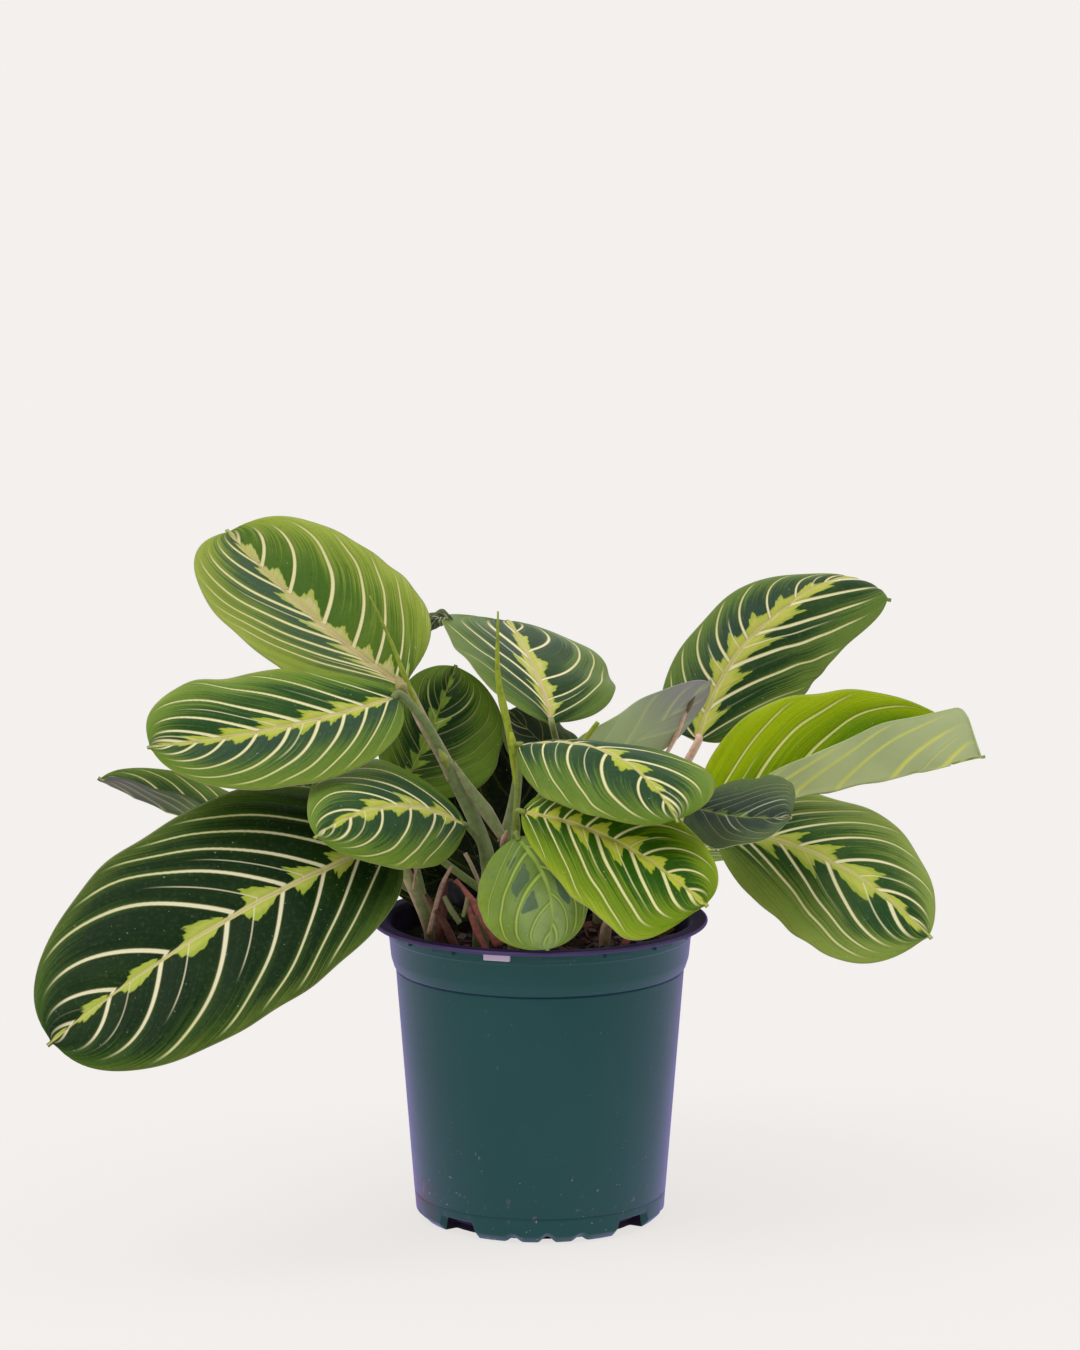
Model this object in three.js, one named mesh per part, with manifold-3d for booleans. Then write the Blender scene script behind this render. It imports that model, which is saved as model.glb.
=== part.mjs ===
import * as THREE from "three";
import { mergeVertices } from "three/addons/utils/BufferGeometryUtils.js";
import Module from "manifold-3d";

// Potted prayer plant in a nursery pot. Millimetres, +Z up, the pot stands at the origin,
// +X to the right and +Y to the back.

const wasm = await Module();
wasm.setup();

// Driving dimensions
const CLEARANCE = 0.3;

const POT_HEIGHT = 103;
const FLANGE_RADIUS = 57;
const FLANGE_THICKNESS = 1.4;
const BAND_RADIUS = 51.8;
const BAND_BOTTOM = 97.5;
const COLLAR_RADIUS = 51;
const COLLAR_BOTTOM = 88;
const BODY_TOP_RADIUS = 49;
const BODY_TOP = 84.5;
const BODY_BOTTOM_RADIUS = 42.6;
const BODY_BOTTOM = 4;
const FOOT_RADIUS = 40;
const WALL = 1.2;
const FLOOR_THICKNESS = 2;
const POT_SIDES = 44;
const DRAIN_NOTCHES = 4;
const DRAIN_NOTCH_WIDTH = 10;
const DRAIN_NOTCH_HEIGHT = 3.2;
const SCALLOPS_PER_QUARTER = 3;
const SCALLOP_STEP = 16;
const SCALLOP_RADIUS = 2.2;
const RIM_LUGS = 16;
const RIM_LUG_SIZE = [9, 1.6, 1.2];

const SOIL_LEVEL = 94;
const HOLE_DEPTH = 12;
const HOLE_CLEARANCE = 0.6;
const BLADE_GAP = 0.5;
const KNEE_LENGTH = 4;
const CHIP_COUNT = 18;

const BLADE_THICKNESS = 0.7;
const BLADE_END_WIDTH = 1.4;
const FULL_LIFT_WIDTH = 6;
const OVAL_END = 0.985;
const DRIP_TIP_WIDTH = 0.08;
const DRIP_TIP_LENGTH = 0.06;
const WAVES = 2.5;
const WAVE_HEIGHT = 0.8;
const SMALL_BLADE_CELLS = [10, 6];
const LARGE_BLADE_CELLS = [12, 8];
const STEM_SIDES = 6;
const STEM_STEP = 7;
const STRAIGHT_FOOT = 5;

// One half of a blade, from the midrib to the margin. Widths in mm, angles in degrees:
// lift tilts the half up from the midrib, curl bends it further towards the margin,
// and each has a value at the base and one at the tip.
function half(width, widest, baseEnd, tipEnd, lift, curl) {
  return { width, widest, baseEnd, tipEnd, lift, curl };
}

// Blades: three points of the midrib, the way the upper side faces (azimuth from the front
// to the right, elevation), a twist along the blade, and its two halves seen from above
// with the tip ahead.
const LEAVES = {
  leaf_front_left: {
    base: [-49, -36, 135.5], middle: [-103, -72, 116.3], tip: [-158, -95, 81],
    faces: [-15, 30], cells: LARGE_BLADE_CELLS,
    left: half(36.5, 0.58, 0.45, 0.42, [4, 4], [-10, -10]),
    right: half(43, 0.42, 0.33, 0.42, [6, 6], [-14, -14]),
  },
  leaf_top_left: {
    base: [-46.5, 8, 181], middle: [-77.5, 20, 203], tip: [-108, 44, 230],
    faces: [26, 38], cells: LARGE_BLADE_CELLS,
    left: half(32, 0.62, 0.6, 0.42, [15, 16], [-10, -10]),
    right: half(34, 0.42, 0.25, 0.33, [20, 22], [-20, -16]),
  },
  leaf_mid_left: {
    base: [-48, -14, 181], middle: [-89.5, -36, 173.3], tip: [-128, -54, 171],
    faces: [-10, 48], cells: LARGE_BLADE_CELLS,
    left: half(25.5, 0.42, 0.45, 0.5, [4, 4], [-15, -15]),
    right: half(30.5, 0.55, 0.5, 0.42, [8, 8], [-25, -25]),
  },
  leaf_centre_left: {
    base: [-25, -18, 138], middle: [-49, -45, 149.5], tip: [-73, -70, 144],
    faces: [0, 45],
    left: half(23, 0.5, 0.55, 0.5, [-8, -8], [-25, -25]),
    right: half(27, 0.42, 0.45, 0.75, [0, 0], [-22, -22]),
  },
  leaf_far_left: {
    base: [-93, 15, 127], middle: [-122.5, 20, 134], tip: [-151.5, 22, 147],
    faces: [0, 55],
    left: half(18, 0.5, 0.5, 0.6, [60, 60], [20, 20]),
    right: half(16, 0.5, 0.5, 0.6, [10, 10], [0, 0]),
  },
  leaf_behind_left: {
    base: [-51, 14, 139], middle: [-77, 22, 142], tip: [-105, 24, 139],
    faces: [0, 60],
    left: half(17, 0.5, 0.5, 0.5, [10, 10], [0, 0]),
    right: half(15, 0.5, 0.5, 0.5, [10, 10], [0, 0]),
  },
  leaf_centre_back: {
    base: [4, 8, 168.5], middle: [-2, 36, 182.5], tip: [-11.5, 84, 192.5],
    faces: [0, 60], cells: LARGE_BLADE_CELLS,
    left: half(27, 0.85, 0.7, 0.22, [10, 12], [0, 10]),
    right: half(28, 0.52, 0.5, 0.5, [-4, -4], [-18, -18]),
  },
  leaf_dark_back: {
    base: [-47, 12, 145], middle: [-37.5, 25, 163.5], tip: [-29, 42, 183],
    faces: [0, 25],
    left: half(17, 0.5, 0.5, 0.5, [5, 5], [-10, -10]),
    right: half(26, 0.45, 0.5, 0.5, [5, 5], [-20, -20]),
  },
  leaf_under_right: {
    base: [2.5, -3, 147], middle: [30.5, 3, 162.5], tip: [58, 8, 183],
    faces: [180, 40],
    left: half(13.5, 0.5, 0.5, 0.5, [0, 0], [10, 10]),
    right: half(14.5, 0.38, 0.4, 0.6, [0, 0], [10, 10]),
  },
  leaf_upper_right: {
    base: [54, 18, 161], middle: [79.5, 40, 199], tip: [121.5, 46, 205],
    faces: [-5, 30], twist: -30, cells: LARGE_BLADE_CELLS,
    left: half(18.5, 0.28, 0.16, 0.5, [0, 0], [-20, -40]),
    right: half(27, 0.4, 0.45, 0.5, [0, 0], [-10, -10]),
  },
  leaf_rolled: {
    base: [53, -12, 140.5], middle: [100.5, -16, 150], tip: [148.5, -20, 162],
    faces: [0, 80], cells: LARGE_BLADE_CELLS,
    left: half(34, 0.42, 0.55, 0.6, [62, 62], [12, 12]),
    right: half(25, 0.95, 1.2, 0.15, [78, 70], [10, -10]),
  },
  leaf_lower_right: {
    base: [60, -8, 134], middle: [96, -30, 128.5], tip: [128.5, -55, 107.5],
    faces: [10, 38], cells: LARGE_BLADE_CELLS,
    left: half(30, 0.46, 0.32, 0.8, [-4, -4], [-20, -20]),
    right: half(29, 0.72, 0.55, 0.36, [-2, -2], [-20, -20]),
  },
  leaf_small_dark: {
    base: [50.5, -28, 146.5], middle: [66, -42, 145.5], tip: [82, -55, 148],
    faces: [5, 45],
    left: half(20.5, 0.5, 0.35, 0.42, [5, 5], [-15, -15]),
    right: half(15, 0.45, 0.5, 0.5, [8, 8], [-10, -10]),
  },
  leaf_front_centre: {
    base: [-7, -22, 166], middle: [23.5, -48, 167.5], tip: [44.5, -74, 150],
    faces: [15, 60],
    left: half(25, 0.65, 0.5, 0.4, [-28, 18], [-50, -20]),
    right: half(24, 0.45, 0.5, 0.5, [-10, -10], [-40, -40]),
  },
  leaf_front_lower: {
    base: [-6, -36, 146], middle: [25.5, -58, 140], tip: [54, -80, 123.5],
    faces: [5, 35],
    left: half(19.5, 0.5, 0.5, 0.42, [8, 8], [-20, -20]),
    right: half(28, 0.84, 0.68, 0.24, [8, 8], [-10, -10]),
  },
  leaf_young_round: {
    base: [-7.5, -34, 137], middle: [-1.5, -50, 121.5], tip: [2.5, -58, 104],
    faces: [-5, 35],
    left: half(18.5, 0.42, 0.45, 0.45, [0, 0], [-20, -20]),
    right: half(19.5, 0.5, 0.45, 0.45, [0, 0], [-20, -20]),
  },
  leaf_rear_left: {
    base: [-34, 30, 128], middle: [-66, 52, 132], tip: [-92, 74, 112],
    faces: [215, 62],
    left: half(24, 0.5, 0.5, 0.5, [6, 6], [-20, -20]),
    right: half(24, 0.5, 0.5, 0.5, [6, 6], [-20, -20]),
  },
  leaf_rear_centre: {
    base: [-10, 42, 121], middle: [-16, 78, 125], tip: [-24, 112, 104],
    faces: [190, 62],
    left: half(25, 0.5, 0.5, 0.5, [6, 6], [-20, -20]),
    right: half(25, 0.5, 0.5, 0.5, [6, 6], [-20, -20]),
  },
  leaf_rear_right: {
    base: [22, 36, 126], middle: [44, 66, 130], tip: [62, 94, 108],
    faces: [150, 62],
    left: half(24, 0.5, 0.5, 0.5, [6, 6], [-20, -20]),
    right: half(24, 0.5, 0.5, 0.5, [6, 6], [-20, -20]),
  },
  leaf_side_right: {
    base: [40, 18, 118], middle: [72, 30, 118], tip: [100, 40, 98],
    faces: [120, 66],
    left: half(20, 0.5, 0.5, 0.5, [6, 6], [-20, -20]),
    right: half(20, 0.5, 0.5, 0.5, [6, 6], [-20, -20]),
  },
};

// Stems: each node joins its branches, and the first point of a standing branch is in the
// soil. A branch that ends at a blade stops just short of it.
const STEMS = {
  stem_main: [
    { radius: 2.1, stands: true, points: [[-20, -12, 94], [-19, -12, 110], [-18, -12, 128], [-31.5, -8, 158]] },
    { radius: 1.5, blade: "leaf_top_left", points: [[-29, -8.8, 152], [-33, -6, 160], [-40, 1, 171]] },
    { radius: 1.1, blade: "leaf_mid_left", points: [[-28, -9, 150], [-32, -9, 159], [-38, -11, 171]] },
    { radius: 1.2, blade: "leaf_centre_left", points: [[-18.5, -12, 122], [-20, -14, 131]] },
    { radius: 1.2, blade: "leaf_dark_back", points: [[-18.8, -12, 114], [-34, -4, 124], [-46, 5, 134]] },
    { radius: 0.9, points: [[-30, -8.5, 155], [-38, -6, 169], [-44.5, -4.5, 184], [-50, -4, 198], [-57, -6, 214]] },
  ],
  stem_front: [
    { radius: 1.9, stands: true, points: [[-9, -20, 94], [-10, -19, 112], [-9, -20, 132]] },
    { radius: 1.2, blade: "leaf_front_centre", points: [[-9, -20, 130], [-7.5, -19, 150], [-7.2, -20.5, 161]] },
    { radius: 1.1, blade: "leaf_front_lower", points: [[-9, -20, 128], [-7.5, -27, 139]] },
    { radius: 1.0, blade: "leaf_young_round", points: [[-10, -19.2, 116], [-9.5, -27, 130]] },
    { radius: 1.1, points: [[-7.5, -19, 150], [-10.5, -16.5, 170], [-14, -15, 188], [-14, -15, 210]] },
  ],
  stem_left: [
    { radius: 1.8, stands: true, points: [[-36, -24, 94], [-38, -26, 108], [-45, -32.5, 126]] },
    { radius: 1.5, blade: "leaf_front_left", points: [[-42, -30, 119], [-46.5, -34, 129]] },
  ],
  stem_left_back: [
    { radius: 1.6, stands: true, points: [[-36, 6, 94], [-40, 7, 108], [-60, 11, 120]] },
    { radius: 1.2, blade: "leaf_far_left", points: [[-52, 9.5, 116], [-75, 13, 123]] },
    { radius: 1.1, blade: "leaf_behind_left", points: [[-38.5, 6.8, 104], [-44, 10, 125]] },
  ],
  stem_right: [
    { radius: 1.9, stands: true, points: [[22, -12, 94], [25, -12, 106], [38, -13, 124]] },
    { radius: 1.4, blade: "leaf_rolled", points: [[34, -12.5, 119], [46, -12.5, 133]] },
    { radius: 1.3, blade: "leaf_lower_right", points: [[30, -12.4, 113], [45, -10, 125]] },
    { radius: 1.1, blade: "leaf_small_dark", points: [[27, -12, 109], [37, -19, 130]] },
  ],
  stem_back: [
    { radius: 2.0, stands: true, points: [[10, 8, 94], [10, 8, 108], [18, 8, 126]] },
    { radius: 1.5, blade: "leaf_upper_right", points: [[14, 8, 118], [32, 14, 132], [46, 17, 147]] },
    { radius: 1.2, blade: "leaf_centre_back", points: [[10, 8, 106], [11, 22, 132], [7, 17, 154]] },
    { radius: 1.1, blade: "leaf_under_right", points: [[10, 8, 104], [1, 3, 120], [-2, -2, 139]] },
  ],
  stem_rear: [
    { radius: 1.9, stands: true, points: [[-6, 26, 94], [-6, 27, 106], [-8, 33, 120]] },
    { radius: 1.3, blade: "leaf_rear_centre", points: [[-7, 30, 113], [-8.5, 36, 118]] },
    { radius: 1.3, blade: "leaf_rear_left", points: [[-6, 27, 107], [-22, 28, 121]] },
  ],
  stem_rear_right: [
    { radius: 1.8, stands: true, points: [[20, 24, 94], [20, 24, 104], [21, 29, 116]] },
    { radius: 1.3, blade: "leaf_rear_right", points: [[20.5, 27, 112], [21.5, 32, 120]] },
    { radius: 1.2, blade: "leaf_side_right", points: [[20, 24, 103], [31, 20, 112]] },
  ],
};

const MATERIALS = {
  pot: new THREE.MeshStandardMaterial({ color: 0x2e4b4b, roughness: 0.45, metalness: 0 }),
  soil: new THREE.MeshStandardMaterial({ color: 0x2a1f1a, roughness: 0.95, metalness: 0 }),
  stem: new THREE.MeshStandardMaterial({ color: 0x7f8f4a, roughness: 0.6, metalness: 0 }),
  leaf: new THREE.MeshStandardMaterial({ color: 0x4f7a34, roughness: 0.5, metalness: 0 }),
};

function radians(degrees) {
  return THREE.MathUtils.degToRad(degrees);
}

function vector(point) {
  return new THREE.Vector3(...point);
}

// A fixed sequence of numbers from 0 to 1, the same on each run
function sequence(seed) {
  let state = seed;
  return () => {
    state = (state * 1664525 + 1013904223) % 4294967296;
    return state / 4294967296;
  };
}

// Booleans
function toSolid(geometry) {
  const bare = geometry.clone();
  bare.deleteAttribute("normal");
  bare.deleteAttribute("uv");
  const merged = mergeVertices(bare, 1e-4);
  return new wasm.Manifold(new wasm.Mesh({
    numProp: 3,
    vertProperties: new Float32Array(merged.attributes.position.array),
    triVerts: new Uint32Array(merged.index.array),
  }));
}

function toGeometry(solid) {
  const mesh = solid.getMesh();
  const geometry = new THREE.BufferGeometry();
  geometry.setAttribute("position", new THREE.BufferAttribute(mesh.vertProperties, 3));
  geometry.setIndex(new THREE.BufferAttribute(mesh.triVerts, 1));
  geometry.computeVertexNormals();
  return geometry;
}

// A lathe about the vertical axis, from a profile of [radius, height] points
function turned(profile, sides) {
  const points = profile.map(([radius, height]) => new THREE.Vector2(radius, height));
  return new THREE.LatheGeometry(points, sides).rotateX(Math.PI / 2);
}

function roundAt(angle, radius, height) {
  return [radius * Math.sin(angle), -radius * Math.cos(angle), height];
}

// Pot
function potWall() {
  const flangeBottom = POT_HEIGHT - FLANGE_THICKNESS;
  return turned([
    [0, 0],
    [FOOT_RADIUS, 0],
    [BODY_BOTTOM_RADIUS - 0.3, BODY_BOTTOM - 1.5],
    [BODY_BOTTOM_RADIUS, BODY_BOTTOM],
    [BODY_TOP_RADIUS, BODY_TOP],
    [COLLAR_RADIUS, COLLAR_BOTTOM],
    [COLLAR_RADIUS + 0.4, BAND_BOTTOM],
    [BAND_RADIUS, BAND_BOTTOM],
    [BAND_RADIUS, flangeBottom],
    [FLANGE_RADIUS - 0.5, flangeBottom],
    [FLANGE_RADIUS, flangeBottom + FLANGE_THICKNESS / 2],
    [FLANGE_RADIUS - 0.5, POT_HEIGHT],
    [BAND_RADIUS - WALL, POT_HEIGHT - 0.3],
    [COLLAR_RADIUS - WALL, COLLAR_BOTTOM],
    [BODY_TOP_RADIUS - WALL, BODY_TOP],
    [BODY_BOTTOM_RADIUS - WALL, FLOOR_THICKNESS],
    [0, FLOOR_THICKNESS],
  ], POT_SIDES);
}

function drainNotch(index) {
  const angle = (index + 0.5) * 2 * Math.PI / DRAIN_NOTCHES;
  const notch = new THREE.BoxGeometry(DRAIN_NOTCH_WIDTH, 9, DRAIN_NOTCH_HEIGHT * 2);
  notch.rotateZ(angle);
  notch.translate(...roundAt(angle, FOOT_RADIUS, 0));
  return notch;
}

function scallop(quarter, index) {
  const middle = (SCALLOPS_PER_QUARTER - 1) / 2;
  const angle = quarter * Math.PI / 2 + radians((index - middle) * SCALLOP_STEP);
  const cut = new THREE.CylinderGeometry(SCALLOP_RADIUS, SCALLOP_RADIUS, 8, 10);
  cut.rotateZ(angle);
  cut.translate(...roundAt(angle, FOOT_RADIUS + 1, 0));
  return cut;
}

function rimLug(index) {
  const angle = (index + 0.3) * 2 * Math.PI / RIM_LUGS;
  const lug = new THREE.BoxGeometry(...RIM_LUG_SIZE);
  lug.rotateZ(angle);
  const height = POT_HEIGHT - FLANGE_THICKNESS - RIM_LUG_SIZE[2] / 2 + 0.1;
  lug.translate(...roundAt(angle, BAND_RADIUS + 0.2, height));
  return lug;
}

function pot() {
  let solid = toSolid(potWall());
  for (let index = 0; index < DRAIN_NOTCHES; index++) {
    solid = solid.subtract(toSolid(drainNotch(index)));
    for (let cut = 0; cut < SCALLOPS_PER_QUARTER; cut++) {
      solid = solid.subtract(toSolid(scallop(index, cut)));
    }
  }
  for (let index = 0; index < RIM_LUGS; index++) {
    solid = solid.add(toSolid(rimLug(index)));
  }
  return toGeometry(solid);
}

// Soil, with bark chips and dead sheaths grown into its top and a hole for each stem
function soilHeight(x, y) {
  return SOIL_LEVEL + 0.9 * Math.sin(0.21 * x + 0.8) * Math.cos(0.17 * y) + 0.5 * Math.sin(0.47 * y - 0.3 * x);
}

function soilBody() {
  const gap = WALL + CLEARANCE;
  const rings = [0, 16, 32, COLLAR_RADIUS - gap];
  const profile = [
    [0, FLOOR_THICKNESS + CLEARANCE],
    [BODY_BOTTOM_RADIUS - gap, FLOOR_THICKNESS + CLEARANCE],
    [BODY_TOP_RADIUS - gap, BODY_TOP],
    [COLLAR_RADIUS - gap, COLLAR_BOTTOM + CLEARANCE],
    ...rings.reverse().map((radius) => [radius, SOIL_LEVEL]),
  ];
  const body = turned(profile, POT_SIDES);
  const place = body.attributes.position;
  for (let index = 0; index < place.count; index++) {
    if (place.getZ(index) > SOIL_LEVEL - 0.01) {
      place.setZ(index, soilHeight(place.getX(index), place.getY(index)));
    }
  }
  return body;
}

function barkChip(next) {
  const angle = next() * 2 * Math.PI;
  const radius = 8 + 34 * Math.sqrt(next());
  const chip = new THREE.BoxGeometry(4 + 7 * next(), 2.5 + 2.5 * next(), 1.6 + next());
  chip.rotateX((next() - 0.5) * 0.5);
  chip.rotateY((next() - 0.5) * 0.5);
  chip.rotateZ(next() * Math.PI);
  const [x, y] = roundAt(angle, radius, 0);
  chip.translate(x, y, soilHeight(x, y) + 0.2);
  return chip;
}

function soilHole([x, y], radius) {
  const wide = (radius + HOLE_CLEARANCE) / Math.cos(Math.PI / STEM_SIDES);
  const above = 12;
  const hole = new THREE.CylinderGeometry(wide, wide, HOLE_DEPTH + above, 12);
  hole.rotateX(Math.PI / 2);
  hole.translate(x, y, SOIL_LEVEL + (above - HOLE_DEPTH) / 2);
  return hole;
}

function soil() {
  let solid = toSolid(soilBody());
  const next = sequence(41);
  for (let index = 0; index < CHIP_COUNT; index++) {
    solid = solid.add(toSolid(barkChip(next)));
  }
  for (const branches of Object.values(STEMS)) {
    for (const branch of branches.filter((each) => each.stands)) {
      solid = solid.subtract(toSolid(soilHole(branch.points[0], branch.radius)));
    }
  }
  return toGeometry(solid);
}

// Stems
function branchPath(branch) {
  const points = branch.points.map(vector);
  if (branch.blade) {
    const blade = LEAVES[branch.blade];
    const { point, ahead } = bladeFrame(blade, 0);
    points.push(point.clone().addScaledVector(ahead, -KNEE_LENGTH));
    points.push(point.clone().addScaledVector(ahead, -BLADE_GAP));
  }
  if (branch.stands) {
    const foot = points[0].clone();
    foot.z = SOIL_LEVEL - HOLE_DEPTH + CLEARANCE;
    points[0].z = SOIL_LEVEL + STRAIGHT_FOOT;
    points.unshift(foot);
  }
  return new THREE.CatmullRomCurve3(points, false, "centripetal");
}

function branchTube(branch) {
  const path = branchPath(branch);
  const section = new THREE.Shape();
  for (let side = 0; side < STEM_SIDES; side++) {
    const angle = (side / STEM_SIDES) * 2 * Math.PI;
    const x = branch.radius * Math.cos(angle);
    const y = branch.radius * Math.sin(angle);
    if (side === 0) {
      section.moveTo(x, y);
    } else {
      section.lineTo(x, y);
    }
  }
  section.closePath();
  const steps = Math.max(3, Math.round(path.getLength() / STEM_STEP));
  return new THREE.ExtrudeGeometry(section, { steps, extrudePath: path });
}

function stem(branches) {
  let solid = toSolid(branchTube(branches[0]));
  for (const branch of branches.slice(1)) {
    solid = solid.add(toSolid(branchTube(branch)));
  }
  return toGeometry(solid);
}

// Leaves
function facing([azimuth, elevation]) {
  const level = Math.cos(radians(elevation));
  return new THREE.Vector3(
    Math.sin(radians(azimuth)) * level,
    -Math.cos(radians(azimuth)) * level,
    Math.sin(radians(elevation)),
  );
}

function halfWidth(along, side) {
  let fullness;
  if (along < side.widest) {
    const run = (side.widest - along) / side.widest;
    fullness = Math.max(1 - run * run, 0) ** side.baseEnd;
  } else {
    const run = Math.min((along - side.widest) / (OVAL_END - side.widest), 1);
    fullness = (1 - run * run) ** side.tipEnd;
  }
  const dripTip = along > side.widest ? DRIP_TIP_WIDTH * Math.min((1 - along) / DRIP_TIP_LENGTH, 1) : 0;
  return Math.max(side.width * Math.max(fullness, dripTip), BLADE_END_WIDTH / 2);
}

// The middle surface of a blade: along runs 0 to 1 from base to tip, across runs -1 to 1
// from the right margin to the left one
function bladeFrame(leaf, along) {
  const [base, middle, tip] = [leaf.base, leaf.middle, leaf.tip].map(vector);
  const control = middle.clone().multiplyScalar(2).addScaledVector(base, -0.5).addScaledVector(tip, -0.5);
  const rib = new THREE.QuadraticBezierCurve3(base, control, tip);
  const ahead = rib.getTangent(along);
  const face = facing(leaf.faces);
  face.addScaledVector(ahead, -face.dot(ahead)).normalize();
  face.applyAxisAngle(ahead, radians(leaf.twist ?? 0) * (along - 0.5));
  return { point: rib.getPoint(along), ahead, face, left: face.clone().cross(ahead) };
}

function bladePoint(leaf, along, across) {
  const { point, face, left } = bladeFrame(leaf, along);
  const side = across >= 0 ? leaf.left : leaf.right;
  const outward = across >= 0 ? 1 : -1;
  const out = Math.abs(across);
  const reach = halfWidth(along, side);
  const fullLift = radians(THREE.MathUtils.lerp(side.lift[0], side.lift[1], along));
  const lift = fullLift * Math.min(1, reach / FULL_LIFT_WIDTH);
  const curl = radians(THREE.MathUtils.lerp(side.curl[0], side.curl[1], along));
  const slope = lift + curl * out;
  const bend = curl * out / 2;
  const arc = out * reach;
  const chord = Math.abs(bend) > 1e-4 ? arc * Math.sin(bend) / bend : arc;
  const normal = face.clone().multiplyScalar(Math.cos(slope));
  normal.addScaledVector(left, -outward * Math.sin(slope));
  const turns = WAVES * along + (outward < 0 ? 0.5 : 0);
  const wave = WAVE_HEIGHT * out * out * Math.sin(2 * Math.PI * turns) * Math.sin(Math.PI * along);
  point.addScaledVector(left, outward * chord * Math.cos(lift + bend));
  point.addScaledVector(face, chord * Math.sin(lift + bend));
  point.addScaledVector(normal, wave);
  return { point, normal };
}

// Rows stand closer together towards the round ends of a blade
function closerAtEnds(share) {
  return THREE.MathUtils.lerp(share, (1 - Math.cos(Math.PI * share)) / 2, 0.75);
}

function blade(leaf) {
  const [rows, columns] = leaf.cells ?? SMALL_BLADE_CELLS;
  const count = (rows + 1) * (columns + 1);
  const positions = [];
  for (const level of [0.5, -0.5]) {
    for (let row = 0; row <= rows; row++) {
      const along = closerAtEnds(row / rows);
      for (let column = 0; column <= columns; column++) {
        const { point, normal } = bladePoint(leaf, along, 2 * column / columns - 1);
        point.addScaledVector(normal, level * BLADE_THICKNESS);
        positions.push(point.x, point.y, point.z);
      }
    }
  }
  const faces = [];
  const at = (row, column) => row * (columns + 1) + column;
  for (let row = 0; row < rows; row++) {
    for (let column = 0; column < columns; column++) {
      const [a, b, c, d] = [at(row, column), at(row, column + 1), at(row + 1, column + 1), at(row + 1, column)];
      faces.push(a, d, c, a, c, b);
      faces.push(count + a, count + c, count + d, count + a, count + b, count + c);
    }
  }
  const edge = [];
  for (let column = 0; column < columns; column++) edge.push(at(0, column));
  for (let row = 0; row < rows; row++) edge.push(at(row, columns));
  for (let column = columns; column > 0; column--) edge.push(at(rows, column));
  for (let row = rows; row > 0; row--) edge.push(at(row, 0));
  edge.forEach((from, index) => {
    const to = edge[(index + 1) % edge.length];
    faces.push(from, to, count + to, from, count + to, count + from);
  });
  const geometry = new THREE.BufferGeometry();
  geometry.setAttribute("position", new THREE.Float32BufferAttribute(positions, 3));
  geometry.setIndex(faces);
  geometry.computeVertexNormals();
  return geometry;
}

function piece(name, geometry, material) {
  const mesh = new THREE.Mesh(geometry, material);
  mesh.name = name;
  return mesh;
}

const plant = new THREE.Group();
plant.add(piece("pot", pot(), MATERIALS.pot));
plant.add(piece("soil", soil(), MATERIALS.soil));
for (const [name, branches] of Object.entries(STEMS)) {
  plant.add(piece(name, stem(branches), MATERIALS.stem));
}
for (const [name, leaf] of Object.entries(LEAVES)) {
  plant.add(piece(name, blade(leaf), MATERIALS.leaf));
}

export default plant;
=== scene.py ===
import random
from collections import namedtuple
from math import cos, hypot, pi, radians, sin, sqrt
from types import SimpleNamespace

import bpy
import bmesh
import numpy as np
from mathutils import Euler, Matrix, Vector, noise


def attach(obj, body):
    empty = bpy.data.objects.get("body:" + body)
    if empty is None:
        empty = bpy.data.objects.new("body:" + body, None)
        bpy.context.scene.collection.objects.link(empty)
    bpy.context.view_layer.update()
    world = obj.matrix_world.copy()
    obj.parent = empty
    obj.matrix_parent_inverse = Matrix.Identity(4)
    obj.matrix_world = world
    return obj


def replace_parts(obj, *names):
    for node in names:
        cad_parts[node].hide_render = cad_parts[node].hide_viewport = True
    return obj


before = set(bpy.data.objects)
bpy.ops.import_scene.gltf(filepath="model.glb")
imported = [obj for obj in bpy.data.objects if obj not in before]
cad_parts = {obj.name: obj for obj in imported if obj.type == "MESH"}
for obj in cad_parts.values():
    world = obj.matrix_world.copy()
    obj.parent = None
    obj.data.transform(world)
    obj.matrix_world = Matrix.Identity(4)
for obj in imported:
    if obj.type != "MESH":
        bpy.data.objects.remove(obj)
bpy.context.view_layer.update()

MM = .001
scene = bpy.context.scene


def add_object(data):
    made = bpy.data.objects.new(data.name, data)
    scene.collection.objects.link(made)
    return made


# Camera, at the photograph's viewing angle: nearly level, a little above the rim

CAMERA_DISTANCE = 1.565
CAMERA_HEIGHT = .4357
CAMERA_PITCH = 9.06
CAMERA_LENS = 125.4


def make_camera():
    data = bpy.data.cameras.new("camera")
    data.lens = CAMERA_LENS
    data.sensor_width = 36
    data.clip_end = 100
    camera = add_object(data)
    camera.location = (0, -CAMERA_DISTANCE, CAMERA_HEIGHT)
    camera.rotation_euler = (radians(90 - CAMERA_PITCH), 0, 0)
    scene.camera = camera


make_camera()


def around(radius, angle):
    return radius * sin(angle), -radius * cos(angle)


# Blades, in mm and degrees. Each repeats the named shape of its solid

# A half has its width, widest place, roundness at the base and at the tip, and lift and curl (one
# value, or one at the base and one at the tip). sweep: how far the veins run toward the tip near
# the midrib and further out, and how much more they do so near the tip. veins: how many it has,
# nought for the blade's own number, and where the first one starts
Half = namedtuple("Half", "width widest base_end tip_end lift curl sweep veins",
                  defaults=((.5, .7, 1.5), (0, 0)))

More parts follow.
